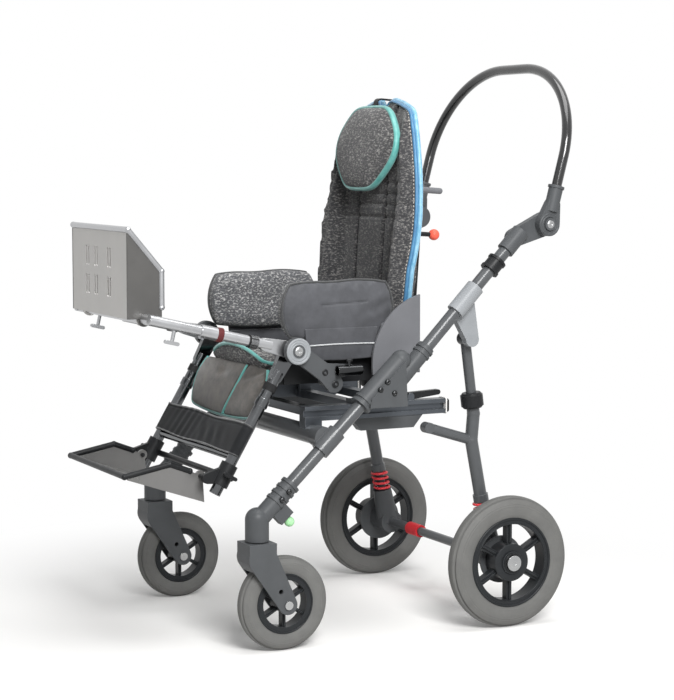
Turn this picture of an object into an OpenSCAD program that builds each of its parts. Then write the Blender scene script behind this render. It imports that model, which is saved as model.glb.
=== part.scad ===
// Push buggy for a child who needs postural support, as a jointed assembly in millimetres.
// x runs across, minus y is the front, z is up, and the wheels stand on z = 0.
// Places are measured from midway between the axles. Left pieces are mirrored to the right.

/* [Wheels] */
// Diameter of a front tyre
front_wheel_d = 176; // [120:1:220]
// Width of a front tyre
front_tyre_w = 37; // [25:1:50]
// Diameter of a rear tyre
rear_wheel_d = 255; // [200:1:320]
// Width of a rear tyre
rear_tyre_w = 44; // [30:1:60]
// Distance between the front and rear axles
wheelbase = 468; // [380:1:560]
// Distance between the middles of the front tyres
front_track = 508; // [420:1:600]
// Distance between the middles of the rear tyres
rear_track = 556; // [460:1:640]
// Diameter of the front rim where the tyre seats
front_rim_d = 112; // [80:1:140]
// Diameter of the rear rim where the tyre seats
rear_rim_d = 173; // [130:1:220]
// Radial thickness of the rim bands
rim_band = 12; // [6:1:20]
// Diameter of a front hub
front_hub_d = 34; // [24:1:60]
// Diameter of a rear hub
rear_hub_d = 73; // [40:1:100]
// Width of a front hub
front_hub_w = 42; // [30:1:60]
// Width of a rear hub
rear_hub_w = 42; // [30:1:60]
// Spokes in each wheel
spoke_count = 6; // [3:1:10]
// Width of a front spoke
front_spoke_w = 7; // [4:1:14]
// Width of a rear spoke
rear_spoke_w = 11; // [5:1:20]
// Thickness of the spokes along the axle
spoke_t = 16; // [6:1:26]
// Width of the tread grooves
groove_w = 3; // [1:0.5:6]
// Depth of the tread grooves
groove_d = 6; // [2:0.5:10]
// Diameter of the front axle bolts
front_axle_d = 8; // [6:0.5:12]
// Diameter of the rear axle pins
rear_axle_d = 12; // [8:0.5:18]
// Diameter of the rear axle heads
axle_head_d = 30; // [20:1:40]
// Thickness of the rear axle heads
axle_head_t = 6; // [3:0.5:10]

/* [Casters] */
// Distance of the front axle behind the swivel axis
caster_trail = 50; // [20:1:70]
// Thickness of a fork blade
blade_t = 6; // [4:0.5:10]
// Gap between tyre and fork blade
fork_gap = 4; // [2:0.5:10]
// Gap between tread and fork crown
crown_gap = 5; // [3:0.5:12]
// Height of the fork crown above the floor
fork_top_z = 205; // [190:1:240]
// Length of the fork crown from front to back
crown_l = 54; // [40:1:70]
// Diameter of the blade end round the axle
blade_end_d = 36; // [24:1:50]
// Diameter of the swivel stem
stem_d = 16; // [10:1:22]
// Length of the swivel stem
stem_l = 38; // [25:1:50]
// Diameter of the caster head
head_d = 44; // [36:1:54]
// Height of the straight part of the caster head
head_h = 40; // [30:1:60]
// Gap between fork crown and caster head
head_gap = 2; // [0.5:0.5:4]
// Diameter of the ribbed sleeve on the caster head
sleeve_d = 34; // [30:1:46]
// Length of the ribbed sleeve from the swivel axis
sleeve_l = 95; // [70:1:130]
// Ribs on the sleeve
rib_count = 4; // [2:1:6]
// Width of a rib
rib_w = 6; // [3:0.5:10]
// Height of a rib
rib_h = 2; // [1:0.5:4]
// Diameter of the lock knob
knob_d = 19; // [12:1:26]
// Travel of the lock pin
lock_travel = 6; // [3:0.5:10]
// Diameter of the lock pin
lock_pin_d = 6; // [4:0.5:10]

/* [Frame] */
// Diameter of the main tubes
main_d = 25; // [20:0.5:32]
// Wall of the round tubes
tube_wall = 2; // [1:0.25:4]
// Height where the lower tube meets the swivel axis
frame_low_z = 242; // [220:1:270]
// Slope of the lower tubes
lower_angle = 43.7; // [38:0.1:50]
// Slope of the upper tubes
upper_angle = 46.1; // [40:0.1:52]
// Length of the lower tube from the swivel axis
lower_l = 410; // [340:1:480]
// Start of the knuckle sleeve along the lower tube
knuckle_s = 292; // [250:1:330]
// Diameter of the knuckle sleeve
knuckle_d = 38; // [32:1:50]
// Sideways step from lower to upper tube
tube_step = 25; // [16:0.5:32]
// Place of the step along the lower tube
step_s = 390; // [340:1:430]
// Length of the upper tube from the step
upper_l = 331; // [260:1:400]
// Diameter of the upper socket
socket_d = 32; // [28:1:44]
// Reach of the upper socket above the step
socket_up = 76; // [50:1:100]
// Reach of the upper socket below the step
socket_down = 34; // [20:1:50]
// Diameter of the front cross tube
cross_d = 35; // [25:1:45]
// Distance of the front cross tube in front of the line of the lower tubes
cross_lead = 14.8; // [5:0.2:20]
// Height of the front cross tube
cross_z = 388; // [360:1:410]
// Place of the collar along the upper tube
collar_s = 284; // [240:1:300]
// Length of the collar on the upper tube
collar_l = 28; // [16:1:40]
// Diameter of the collar on the upper tube
collar_d = 34; // [30:1:46]
// Diameter of the bolt heads
bolt_head_d = 11; // [8:0.5:16]
// Height of the bolt heads
bolt_head_h = 4; // [2:0.5:8]

/* [Seat base] */
// Distance of the rails from the middle to their inner face
rail_in = 174; // [150:1:190]
// Width of a rail
rail_w = 25; // [18:1:30]
// Height of a rail
rail_h = 28; // [20:1:40]
// Height of the rails above the floor
rail_z = 412; // [405:1:430]
// Reach of the rails in front of the cross tube
rail_lead = 14; // [8:1:20]
// Rear end of the rails
rail_rear_y = 141; // [110:1:170]
// Height of a skid plate under a rail
skid_h = 24; // [15:1:30]
// Length of a skid plate
skid_l = 153; // [110:1:190]
// Middle of the skid plates from front to back
skid_y = 15; // [-20:1:40]
// Place of the tilt pivot from front to back
tilt_y = 10; // [-40:1:40]
// Height of the tilt pivot
tilt_z = 464; // [455:1:480]
// Diameter of the tilt pins
tilt_pin_d = 12; // [8:0.5:16]
// Place of the fold latch pivot from front to back
latch_y = 66; // [50:1:90]
// Length of a fold latch lever
latch_l = 62; // [40:1:70]

/* [Rear legs] */
// Distance of the rear legs from the middle
leg_x = 215; // [212:0.5:220]
// Place of the leg pivot from front to back
leg_pivot_y = 174; // [150:1:200]
// Height of the leg pivot
leg_pivot_z = 556; // [530:1:580]
// Diameter of the leg pivot pin
leg_pin_d = 10; // [8:0.5:14]
// Diameter of the upper strut
strut_d = 20; // [16:0.5:24]
// Diameter of the lower leg tube
leg_d = 25; // [22:0.5:28]
// Place of the strut collar from front to back
leg_collar_y = 190; // [170:1:210]
// Height of the strut collar
leg_collar_z = 436; // [420:1:460]
// Length of the leg tube above its bend
leg_top_l = 27; // [18:1:40]
// Place of the leg branch from front to back
branch_y = 189; // [175:1:205]
// Height of the leg branch
branch_z = 358; // [340:1:375]
// Place of the latch end of the branch from front to back
hook_y = 92; // [70:1:110]
// Height of the latch end of the branch
hook_z = 388; // [378:1:396]
// Height of the lower end of the leg tube
leg_end_z = 237; // [225:1:250]
// Diameter of the strut collar
leg_collar_d = 44; // [34:1:50]
// Height of the strut collar
leg_collar_h = 30; // [20:1:40]

/* [Suspension] */
// Mean diameter of the springs
spring_d = 32; // [26:0.5:40]
// Wire diameter of the springs
spring_wire = 5; // [3:0.25:7]
// Turns of a spring
spring_turns = 4; // [3:0.5:6]
// Free length of a spring between its seats
spring_l = 42; // [34:1:60]
// Travel of the suspension
travel = 14; // [5:1:18]
// Diameter of the plunger
plunger_d = 18; // [14:0.5:22]
// Diameter of the top of an axle housing
housing_top_d = 38; // [34:1:46]
// Diameter of an axle housing at the axle
housing_d = 48; // [40:1:60]
// Diameter of the drum plates
drum_d = 92; // [70:1:120]
// Thickness of the drum plates
drum_t = 5; // [3:0.5:8]
// Diameter of the axle bar between the housings
axle_bar_d = 18; // [14:0.5:24]
// Place of the brake pedal across
pedal_x = -90; // [-140:1:140]
// Width of the brake pedal
pedal_w = 46; // [30:1:70]
// Length of the brake pedal
pedal_l = 46; // [30:1:60]

/* [Handle] */
// Distance of the handle tubes from the middle
handle_x = 264; // [240:1:275]
// Diameter of the handle tube
handle_d = 20; // [16:0.5:26]
// Place of the handle hinge from front to back
hinge_y = 327; // [300:1:350]
// Height of the handle hinge
hinge_z = 775; // [755:1:800]
// Diameter of the handle hinge discs
hinge_d = 46; // [36:1:56]
// Slope of the handle
handle_angle = 75; // [60:1:85]
// Length of the lower handle from the hinge
handle_l = 149; // [110:1:190]
// Corner radius of the handle arch
arch_r = 168; // [110:1:200]
// Reach of the handle sockets from the hinge
handle_socket_l = 76; // [50:1:90]

/* [Seat] */
// Width of the seat pan
pan_w = 296; // [240:2:310]
// Front of the seat pan
pan_front_y = -206; // [-230:1:-190]
// Rear of the seat pan
pan_rear_y = 74; // [50:1:80]
// Height of the underside of the seat pan
pan_z = 478; // [474:1:486]
// Thickness of the seat pan
pan_t = 10; // [6:1:16]
// Drop of the front lip of the seat pan
pan_lip = 44; // [20:1:56]
// Height of the pan side walls above the pan
pan_side_h = 44; // [30:1:60]
// Thickness of the seat cushion at its edge
cushion_edge = 34; // [20:1:46]
// Crown of the seat cushion
cushion_crown = 18; // [8:1:28]
// Overhang of the seat cushion in front of the pan
cushion_over = 34; // [10:1:50]
// Inner face of the hip pads from the middle
hip_in = 142; // [125:1:150]
// Thickness of a hip pad
hip_t = 44; // [30:1:45]
// Front of the hip pads
hip_front_y = -196; // [-220:1:-170]
// Rear of the hip pads
hip_rear_y = 38; // [0:1:56]
// Underside of the hip pads
hip_low_z = 560; // [540:1:580]
// Top of the hip pads
hip_top_z = 676; // [640:1:700]
// Inner face of the side plates from the middle
side_in = 189; // [187.5:0.5:192]
// Thickness of the side plates
side_t = 6; // [3:0.5:7]
// Radius of the side plates
side_r = 136; // [110:1:150]
// Height of the side plate centre
side_z = 511; // [500:1:530]
// Place of the side plate centre from front to back
side_mid_y = 120; // [105:1:135]
// Place of the knee axis from front to back
knee_y = -184; // [-210:1:-160]
// Height of the knee axis
knee_z = 547; // [520:1:570]
// Diameter of the knee discs
knee_disc_d = 50; // [40:1:60]
// Thickness of the knee discs
knee_disc_t = 12; // [8:1:16]
// Diameter of the knee pins
knee_pin_d = 14; // [10:0.5:18]
// Bore of the accessory sockets
socket_bore = 16; // [10:0.5:18]
// Length of the accessory sockets
socket_l = 50; // [30:1:70]
// Wall of the accessory sockets
socket_wall = 2; // [1.5:0.25:3]

/* [Backrest] */
// Place of the recline axis from front to back
back_y = 72; // [60:1:80]
// Height of the recline axis
back_z = 522; // [515:1:535]
// Diameter of the recline pins
back_pin_d = 10; // [8:0.5:14]
// Lean of the backrest from upright
back_lean = 4; // [0:0.5:12]
// Height of the backrest above its axis
back_h = 498; // [400:1:560]
// Half width of the backrest at its middle
back_half = 176; // [140:1:182]
// Half width of the backrest at its top
back_top_half = 112; // [90:1:140]
// Distance of the back shell behind the recline axis
shell_n = 18; // [16:1:40]
// Thickness of the back shell
shell_t = 8; // [4:1:14]
// Thickness of the middle of the back cushion
back_mid_t = 26; // [16:1:40]
// Thickness added at the back side wings
back_wing_t = 40; // [20:1:55]
// Depth of the sewn channels
channel_d = 7; // [3:0.5:12]
// Middle of the head pad above the recline axis
head_h0 = 398; // [340:1:420]
// Half width of the head pad
head_half = 128; // [90:1:135]
// Half height of the head pad
head_half_h = 86; // [60:1:95]
// Thickness of the head pad
head_t = 26; // [16:1:36]
// Lean of the head pad from the backrest
head_lean = 7; // [0:0.5:12]

/* [Legrest] */
// Distance of the leg tubes from the middle
shin_x = 182; // [180:0.5:184]
// Diameter of the leg tubes
shin_d = 22; // [18:0.5:24]
// Slope of the legrest below level
shin_angle = 59.5; // [50:0.5:75]
// Length of the leg tubes from the knee axis
shin_l = 302; // [270:1:340]
// Height of the seat apron
apron_h = 76; // [60:1:90]
// Half width of the seat apron
apron_half = 166; // [140:1:169]
// Thickness of the seat apron
apron_t = 15; // [10:1:18]
// Run of the apron hem to the front
apron_kick = 14; // [6:1:18]
// Start of the calf band from the knee axis
band_s = 150; // [140:1:165]
// Length of the calf band
band_l = 72; // [50:1:80]
// Thickness of the calf band
band_t = 6; // [3:0.5:8]
// Place of the foot clamps along the leg tubes
clamp_s = 262; // [255:1:275]
// Length of a foot clamp
clamp_l = 44; // [30:1:50]
// Diameter of a foot clamp
clamp_d = 32; // [28:1:36]

/* [Footplate] */
// Place of the footplate hinge from front to back
foot_y = -352; // [-365:1:-345]
// Height of the footplate hinge
foot_z = 317; // [305:1:330]
// Diameter of the footplate hinge pins
foot_pin_d = 8; // [6:0.5:12]
// Diameter of the footplate rim tube
loop_d = 11; // [8:0.5:16]
// Place of the rim tube bend from front to back
loop_bend_y = -411; // [-430:1:-395]
// Height of the rim tube bend
loop_bend_z = 342; // [330:1:356]
// Front of the rim tube
loop_front_y = -500; // [-530:1:-470]
// Height of the front of the rim tube
loop_front_z = 325; // [312:1:340]
// Half width of the footplate
plate_half = 150; // [120:1:155]
// Heel of the footplate from front to back
heel_y = -346; // [-356:1:-340]
// Height of the heel of the footplate
heel_z = 268; // [258:1:280]
// Thickness of the plates
plate_t = 4; // [2:0.5:6]

/* [Front support] */
// Slope of the support arms above level
arm_angle = 13.2; // [5:0.2:25]
// Length of the support arms from the knee axis
arm_l = 292; // [250:1:320]
// Diameter of the support arms
arm_d = 20; // [16:0.5:22]
// Place of the arm cross bar from the knee axis
arm_bar_s = 240; // [200:1:260]
// Front face of the upright plate
panel_y = -491; // [-510:1:-470]
// Underside of the upright plate
panel_z = 612; // [606:1:630]
// Height of the upright plate
panel_h = 162; // [120:1:190]
// Depth of the cheeks of the upright plate
cheek_l = 66; // [40:1:80]
// Height of the short edge of the cheeks
cheek_h = 86; // [50:1:110]
// Width of the slots
slot_w = 7; // [4:0.5:12]
// Length of the slots
slot_l = 38; // [20:1:50]
// Length of the clear tray
tray_l = 112; // [80:1:140]
// Thickness of the clear tray
tray_t = 5; // [3:0.5:8]

/* [Fits] */
// Radial clearance of a running fit
run_gap = 0.05; // [0.02:0.01:0.1]
// Gap between faces that move past each other
face_gap = 0.6; // [0.4:0.1:2]
// Gap round soft pieces
soft_gap = 0.5; // [0.3:0.1:2]

/* [Hidden] */
$fn = 48;
// Overrun of every cut
over = 1;
// Swell of a welded tube bend
bead = 0.5;

// Lines of the side frame, as points of y and z
function dir(a) = [cos(a), sin(a)];
function side(a) = [-sin(a), cos(a)];
function p3(x, p) = [x, p[0], p[1]];
fx = front_track / 2;
front_r = front_wheel_d / 2;
rear_r = rear_wheel_d / 2;
main_r = main_d / 2;
front_axle = [-wheelbase / 2, front_r];
rear_axle = [wheelbase / 2, rear_r];
swivel_y = front_axle[0] - caster_trail;
cross_y = swivel_y + (cross_z - frame_low_z) / tan(lower_angle) - cross_lead;
rail_front_y = cross_y - rail_lead;
function low(s, n = 0) = [swivel_y, frame_low_z] + s * dir(lower_angle) + n * side(lower_angle);
step0 = low(step_s, -tube_step);
tube_end_s = step_s - socket_down - socket_d / 2;
function up(s, n = 0) = step0 + s * dir(upper_angle) + n * side(upper_angle);
leg_pivot = [leg_pivot_y, leg_pivot_z];
leg_collar = [leg_collar_y, leg_collar_z];
leg_bend = leg_collar + leg_top_l * (leg_collar - leg_pivot) / norm(leg_collar - leg_pivot);
branch = [branch_y, branch_z];
hook = [hook_y, hook_z];
hinge = [hinge_y, hinge_z];
knee = [knee_y, knee_z];
// Slide line of the suspension, from the axle up to the leg branch
slide_u = (branch - rear_axle) / norm(branch - rear_axle);
leg_end_s = (leg_end_z - rear_r) / slide_u[1];
function slide(s) = rear_axle + s * slide_u;
// Foot and top of the handle arch
kink = hinge + handle_l * dir(handle_angle);
arch_top = kink + arch_r * dir(handle_angle);
// The whole is centred from front to back on its outer faces
front_most = min(panel_y + plate_t / 2 - loop_d / 2 - bead, loop_front_y - loop_d / 2 - bead);
rear_most = arch_top[0] + handle_d / 2;
y_mid = -(front_most + rear_most) / 2;

// Helpers
module place() translate([0, y_mid, 0]) children();
module pair() {
    children();
    mirror([1, 0, 0]) children();
}
module rod(p, q, r) {
    d = q - p;
    h = norm(d);
    translate(p) rotate([0, acos(d[2] / h), atan2(d[1], d[0])]) cylinder(h = h, r = r);
}
module cone(p, q, ra, rb) {
    d = q - p;
    h = norm(d);
    translate(p) rotate([0, acos(d[2] / h), atan2(d[1], d[0])]) cylinder(h = h, r1 = ra, r2 = rb);
}
module pipe(p, q, ro, ri) {
    u = (q - p) / norm(q - p);
    difference() {
        rod(p, q, ro);
        rod(p - over * u, q + over * u, ri);
    }
}
module xcyl(x0, x1, p, r) translate([x0, p[0], p[1]]) rotate([0, 90, 0]) cylinder(h = x1 - x0, r = r);
module slab(x0, x1) translate([x0, 0, 0]) rotate([90, 0, 90]) linear_extrude(height = x1 - x0) children();
module ball(p, r) translate(p) sphere(r = r);
// Flat link with round ends, drawn in y and z
module link(p, q, ra, rb) {
    d = q - p;
    t = atan2(d[1], d[0]);
    f = acos((ra - rb) / norm(d));
    polygon([p + ra * dir(t + f), q + rb * dir(t + f), q + rb * dir(t - f), p + ra * dir(t - f)]);
    translate(p) circle(r = ra);
    translate(q) circle(r = rb);
}
// Closed skin over two grids of points that share their order
function at(i, j, nb) = i * (nb + 1) + j;
module skin(top, bot, na, nb) {
    n = (na + 1) * (nb + 1);
    polyhedron(points = concat(top, bot), faces = concat(
        [for (i = [0:na - 1], j = [0:nb - 1]) [at(i, j, nb), at(i, j + 1, nb), at(i + 1, j + 1, nb)]],
        [for (i = [0:na - 1], j = [0:nb - 1]) [at(i, j, nb), at(i + 1, j + 1, nb), at(i + 1, j, nb)]],
        [for (i = [0:na - 1], j = [0:nb - 1]) [n + at(i, j, nb), n + at(i + 1, j + 1, nb), n + at(i, j + 1, nb)]],
        [for (i = [0:na - 1], j = [0:nb - 1]) [n + at(i, j, nb), n + at(i + 1, j, nb), n + at(i + 1, j + 1, nb)]],
        [for (i = [0:na - 1]) [at(i, 0, nb), at(i + 1, 0, nb), n + at(i + 1, 0, nb)]],
        [for (i = [0:na - 1]) [at(i, 0, nb), n + at(i + 1, 0, nb), n + at(i, 0, nb)]],
        [for (i = [0:na - 1]) [at(i + 1, nb, nb), at(i, nb, nb), n + at(i, nb, nb)]],
        [for (i = [0:na - 1]) [at(i + 1, nb, nb), n + at(i, nb, nb), n + at(i + 1, nb, nb)]],
        [for (j = [0:nb - 1]) [at(0, j + 1, nb), at(0, j, nb), n + at(0, j, nb)]],
        [for (j = [0:nb - 1]) [at(0, j + 1, nb), n + at(0, j, nb), n + at(0, j + 1, nb)]],
        [for (j = [0:nb - 1]) [at(na, j, nb), at(na, j + 1, nb), n + at(na, j + 1, nb)]],
        [for (j = [0:nb - 1]) [at(na, j, nb), n + at(na, j + 1, nb), n + at(na, j, nb)]]));
}
// Grid places from -1 to 1, closer together near the edges
function spot(k, n) = sin(90 * (2 * k / n - 1));
// Square grid drawn towards a round outline by the share q
function ring_a(a, b, q) = a * sqrt(1 - q * b * b / 2);
function ring_b(a, b, q) = b * sqrt(1 - q * a * a / 2);
function swell(a, b) = sqrt(max(0, (1 - pow(a, 4)) * (1 - pow(b, 4))));
function groove(a, a0, w) = exp(-pow((a - a0) / w, 2));

// Wheels
tyre_r_shares = [0, 0.18, 0.5, 0.78, 0.93, 1];
tyre_w_shares = [0.74, 0.94, 1, 0.9, 0.68, 0.36];
groove_share = 0.52;
bead_share = 0.74;
module tyre(d, w, rim_d) {
    ri = rim_d / 2;
    t = d / 2 - ri;
    h = w / 2;
    n = len(tyre_r_shares) - 1;
    rotate([0, 90, 0]) rotate_extrude($fn = 72) difference() {
        polygon(concat([for (i = [0:n]) [ri + t * tyre_r_shares[i], -h * tyre_w_shares[i]]],
            [for (i = [n:-1:0]) [ri + t * tyre_r_shares[i], h * tyre_w_shares[i]]]));
        for (s = [-1, 1]) translate([ri + t - groove_d, s * h * groove_share - groove_w / 2])
            square([groove_d + over, groove_w]);
    }
}
spoke_lap = 2;
hub_step = 4;
hub_step_share = 0.6;
module rim(d, w, hub_d, hub_w, axle_d, spoke_w) {
    ri = d / 2 - rim_band;
    rotate([0, 90, 0]) difference() {
        union() {
            difference() {
                cylinder(r = d / 2, h = w * bead_share, center = true);
                cylinder(r = ri, h = w + over, center = true);
            }
            cylinder(r = hub_d / 2, h = hub_w - 2 * hub_step, center = true);
            cylinder(r = hub_d / 2 * hub_step_share, h = hub_w, center = true);
            for (i = [0:spoke_count - 1]) rotate(i * 360 / spoke_count)
                translate([hub_d / 2 - spoke_lap, -spoke_w / 2, -spoke_t / 2])
                    cube([ri - hub_d / 2 + 2 * spoke_lap, spoke_w, spoke_t]);
        }
        cylinder(r = axle_d / 2 + run_gap, h = hub_w + over, center = true);
    }
}
module front_tyre() color("dimgray") translate([fx, front_axle[0], front_axle[1]])
    tyre(front_wheel_d, front_tyre_w, front_rim_d);
module front_rim() color("gray") translate([fx, front_axle[0], front_axle[1]])
    rim(front_rim_d, front_tyre_w, front_hub_d, front_hub_w, front_axle_d, front_spoke_w);
module rear_tyre() color("dimgray") translate([rear_track / 2, rear_axle[0], rear_axle[1]])
    tyre(rear_wheel_d, rear_tyre_w, rear_rim_d);
module rear_rim() color("gray") translate([rear_track / 2, rear_axle[0], rear_axle[1]])
    rim(rear_rim_d, rear_tyre_w, rear_hub_d, rear_hub_w, rear_axle_d, rear_spoke_w);
module front_tyre_left() front_tyre();
module front_tyre_right() mirror([1, 0, 0]) front_tyre();
module front_rim_left() front_rim();
module front_rim_right() mirror([1, 0, 0]) front_rim();
module rear_tyre_left() rear_tyre();
module rear_tyre_right() mirror([1, 0, 0]) rear_tyre();
module rear_rim_left() rear_rim();
module rear_rim_right() mirror([1, 0, 0]) rear_rim();

// Casters
fork_room = max(front_tyre_w / 2 + fork_gap, front_hub_w / 2 + face_gap);
fork_half = fork_room + blade_t;
crown_r_share = 0.52;
spare_hole_d = 9;
spare_hole_s = 30;
module fork() {
    crown_r = crown_l * crown_r_share;
    crown = [swivel_y, fork_top_z - crown_r];
    up_blade = (crown - front_axle) / norm(crown - front_axle);
    color("darkslategray") {
        difference() {
            slab(fx - fork_half, fx + fork_half) {
                link(crown, front_axle, crown_r, blade_end_d / 2);
                translate([swivel_y - crown_l / 2, crown[1]]) square([crown_l, crown_r]);
            }
            xcyl(fx - fork_room, fx + fork_room, front_axle, front_r + crown_gap);
            xcyl(fx - fork_half - over, fx + fork_half + over, front_axle, front_axle_d / 2);
            xcyl(fx - fork_half - over, fx + fork_half + over, front_axle + spare_hole_s * up_blade, spare_hole_d / 2);
        }
        translate([fx, swivel_y, fork_top_z - over]) cylinder(h = stem_l + over, r = stem_d / 2);
    }
}
module fork_left() fork();
module fork_right() mirror([1, 0, 0]) fork();
fork_head_d = 16;
fork_head_t = 4;
module fork_bolt() color("silver") {
    xcyl(fx - fork_half - fork_head_t, fx + fork_half + fork_head_t, front_axle, front_axle_d / 2);
    for (x = [fx - fork_half - fork_head_t, fx + fork_half]) xcyl(x, x + fork_head_t, front_axle, fork_head_d / 2);
}
module fork_bolt_left() fork_bolt();
module fork_bolt_right() mirror([1, 0, 0]) fork_bolt();
head_z = fork_top_z + head_gap;
lock_s0 = 28;
lock_s1 = 60;
lock_n = 38;
lock_half = 9;
lock_s = (lock_s0 + lock_s1) / 2;
rib_first_s = 48;
module caster_heads() color("darkslategray") pair() difference() {
    union() {
        translate([fx, swivel_y, head_z]) cylinder(h = head_h, r = head_d / 2);
        ball([fx, swivel_y, head_z + head_h], head_d / 2);
        rod(p3(fx, low(0)), p3(fx, low(sleeve_l)), sleeve_d / 2);
        for (i = [0:rib_count - 1]) {
            s = rib_first_s + i * (sleeve_l - rib_w - rib_first_s) / (rib_count - 1);
            rod(p3(fx, low(s)), p3(fx, low(s + rib_w)), sleeve_d / 2 + rib_h);
        }
        slab(fx - lock_half, fx + lock_half)
            polygon([low(lock_s0), low(lock_s1), low(lock_s1, -lock_n), low(lock_s0, -lock_n)]);
    }
    translate([fx, swivel_y, head_z - over]) cylinder(h = stem_l + over, r = stem_d / 2 + run_gap);
    rod(p3(fx, low(tube_seat_s)), p3(fx, low(sleeve_l + over)), main_r);
    rod(p3(fx, low(lock_s, -lock_n - over)), p3(fx, low(lock_s, -main_r - lock_wall)), lock_pin_d / 2 + run_gap);
}
tube_seat_s = 40;
lock_wall = 3;
module caster_lock() color("palegreen") {
    rod(p3(fx, low(lock_s, -lock_n - knob_d / 2)), p3(fx, low(lock_s, -main_r - lock_wall - lock_travel / 2)), lock_pin_d / 2);
    ball(p3(fx, low(lock_s, -lock_n - knob_d / 2 - face_gap)), knob_d / 2);
}
module caster_lock_left() caster_lock();
module caster_lock_right() mirror([1, 0, 0]) caster_lock();

// Main frame
module lower_tubes() color("dimgray") pair()
    pipe(p3(fx, low(tube_seat_s)), p3(fx, low(tube_end_s)), main_r, main_r - tube_wall);
upper_s0 = -20;
module upper_tubes() color("dimgray") pair()
    pipe(p3(fx, up(upper_s0)), p3(fx, up(upper_l)), main_r, main_r - tube_wall);
module socket_body() {
    rod(p3(fx, up(-socket_down)), p3(fx, up(socket_up)), socket_d / 2);
    ball(p3(fx, up(-socket_down)), socket_d / 2);
}
ring_w = 5;
ring_h = 2;
module knuckle_sockets() color("darkslategray") pair() difference() {
    union() {
        socket_body();
        for (i = [1, 3]) rod(p3(fx, up(socket_up - (i + 1) * ring_w)), p3(fx, up(socket_up - i * ring_w)), socket_d / 2 + ring_h);
    }
    rod(p3(fx, up(upper_s0)), p3(fx, up(socket_up + over)), main_r);
}
gusset_front_y = -62;
gusset_rear_y = 16;
gusset_in = 22;
foot_t = 9;
rail_top = rail_z + rail_h;
gusset_bolt = [-12, 466];
module frame_knuckles() color("darkslategray") pair() difference() {
    union() {
        rod(p3(fx, low(knuckle_s)), p3(fx, low(lower_l)), knuckle_d / 2);
        ball(p3(fx, low(lower_l)), knuckle_d / 2 + bead);
        for (i = [0, 2]) rod(p3(fx, low(knuckle_s + i * ring_w)), p3(fx, low(knuckle_s + (i + 1) * ring_w)), knuckle_d / 2 + ring_h);
        slab(fx - gusset_in, fx + gusset_in) {
            polygon([low(knuckle_s + knuckle_d / 2), low(lower_l), [gusset_rear_y, rail_top], [gusset_front_y, rail_top]]);
        }
        translate([rail_in, gusset_front_y, rail_top])
            cube([fx + gusset_in - rail_in, gusset_rear_y - gusset_front_y, foot_t]);
    }
    rod(p3(fx, low(knuckle_s - over)), p3(fx, low(tube_end_s)), main_r);
    rod(p3(fx, up(-socket_down - socket_d / 2)), p3(fx, up(socket_up)), socket_d / 2);
}
module tube_collars() color("black") pair() difference() {
    union() {
        rod(p3(fx, up(collar_s - collar_l / 2)), p3(fx, up(collar_s + collar_l / 2)), collar_d / 2);
        for (s = [collar_s - collar_l / 2, collar_s + collar_l / 2 - ring_w])
            rod(p3(fx, up(s)), p3(fx, up(s + ring_w)), collar_d / 2 + ring_h);
    }
    rod(p3(fx, up(collar_s - collar_l)), p3(fx, up(collar_s + collar_l)), main_r);
}
cross_end_gap = 16;
drain_d = 6;
clamp_half = 20;
ring_t = 5;
cross_end = fx - main_r - cross_end_gap;
cross_s = ([cross_y, cross_z] - low(0)) * dir(lower_angle);
module front_cross_tube() color("dimgray") {
    difference() {
        xcyl(-cross_end, cross_end, [cross_y, cross_z], cross_d / 2);
        xcyl(-cross_end - over, cross_end + over, [cross_y, cross_z], cross_d / 2 - tube_wall);
        translate([0, cross_y, cross_z - cross_d]) cylinder(h = cross_d, r = drain_d / 2);
    }
    pair() difference() {
        union() {
            xcyl(cross_end - ring_t, fx, [cross_y, cross_z], clamp_half);
            rod(p3(fx, low(cross_s - clamp_half - ring_t)), p3(fx, low(cross_s + clamp_half + ring_t)), main_r + ring_t);
        }
        rod(p3(fx, low(cross_s - 2 * clamp_half)), p3(fx, low(cross_s + 2 * clamp_half)), main_r);
    }
}

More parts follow.
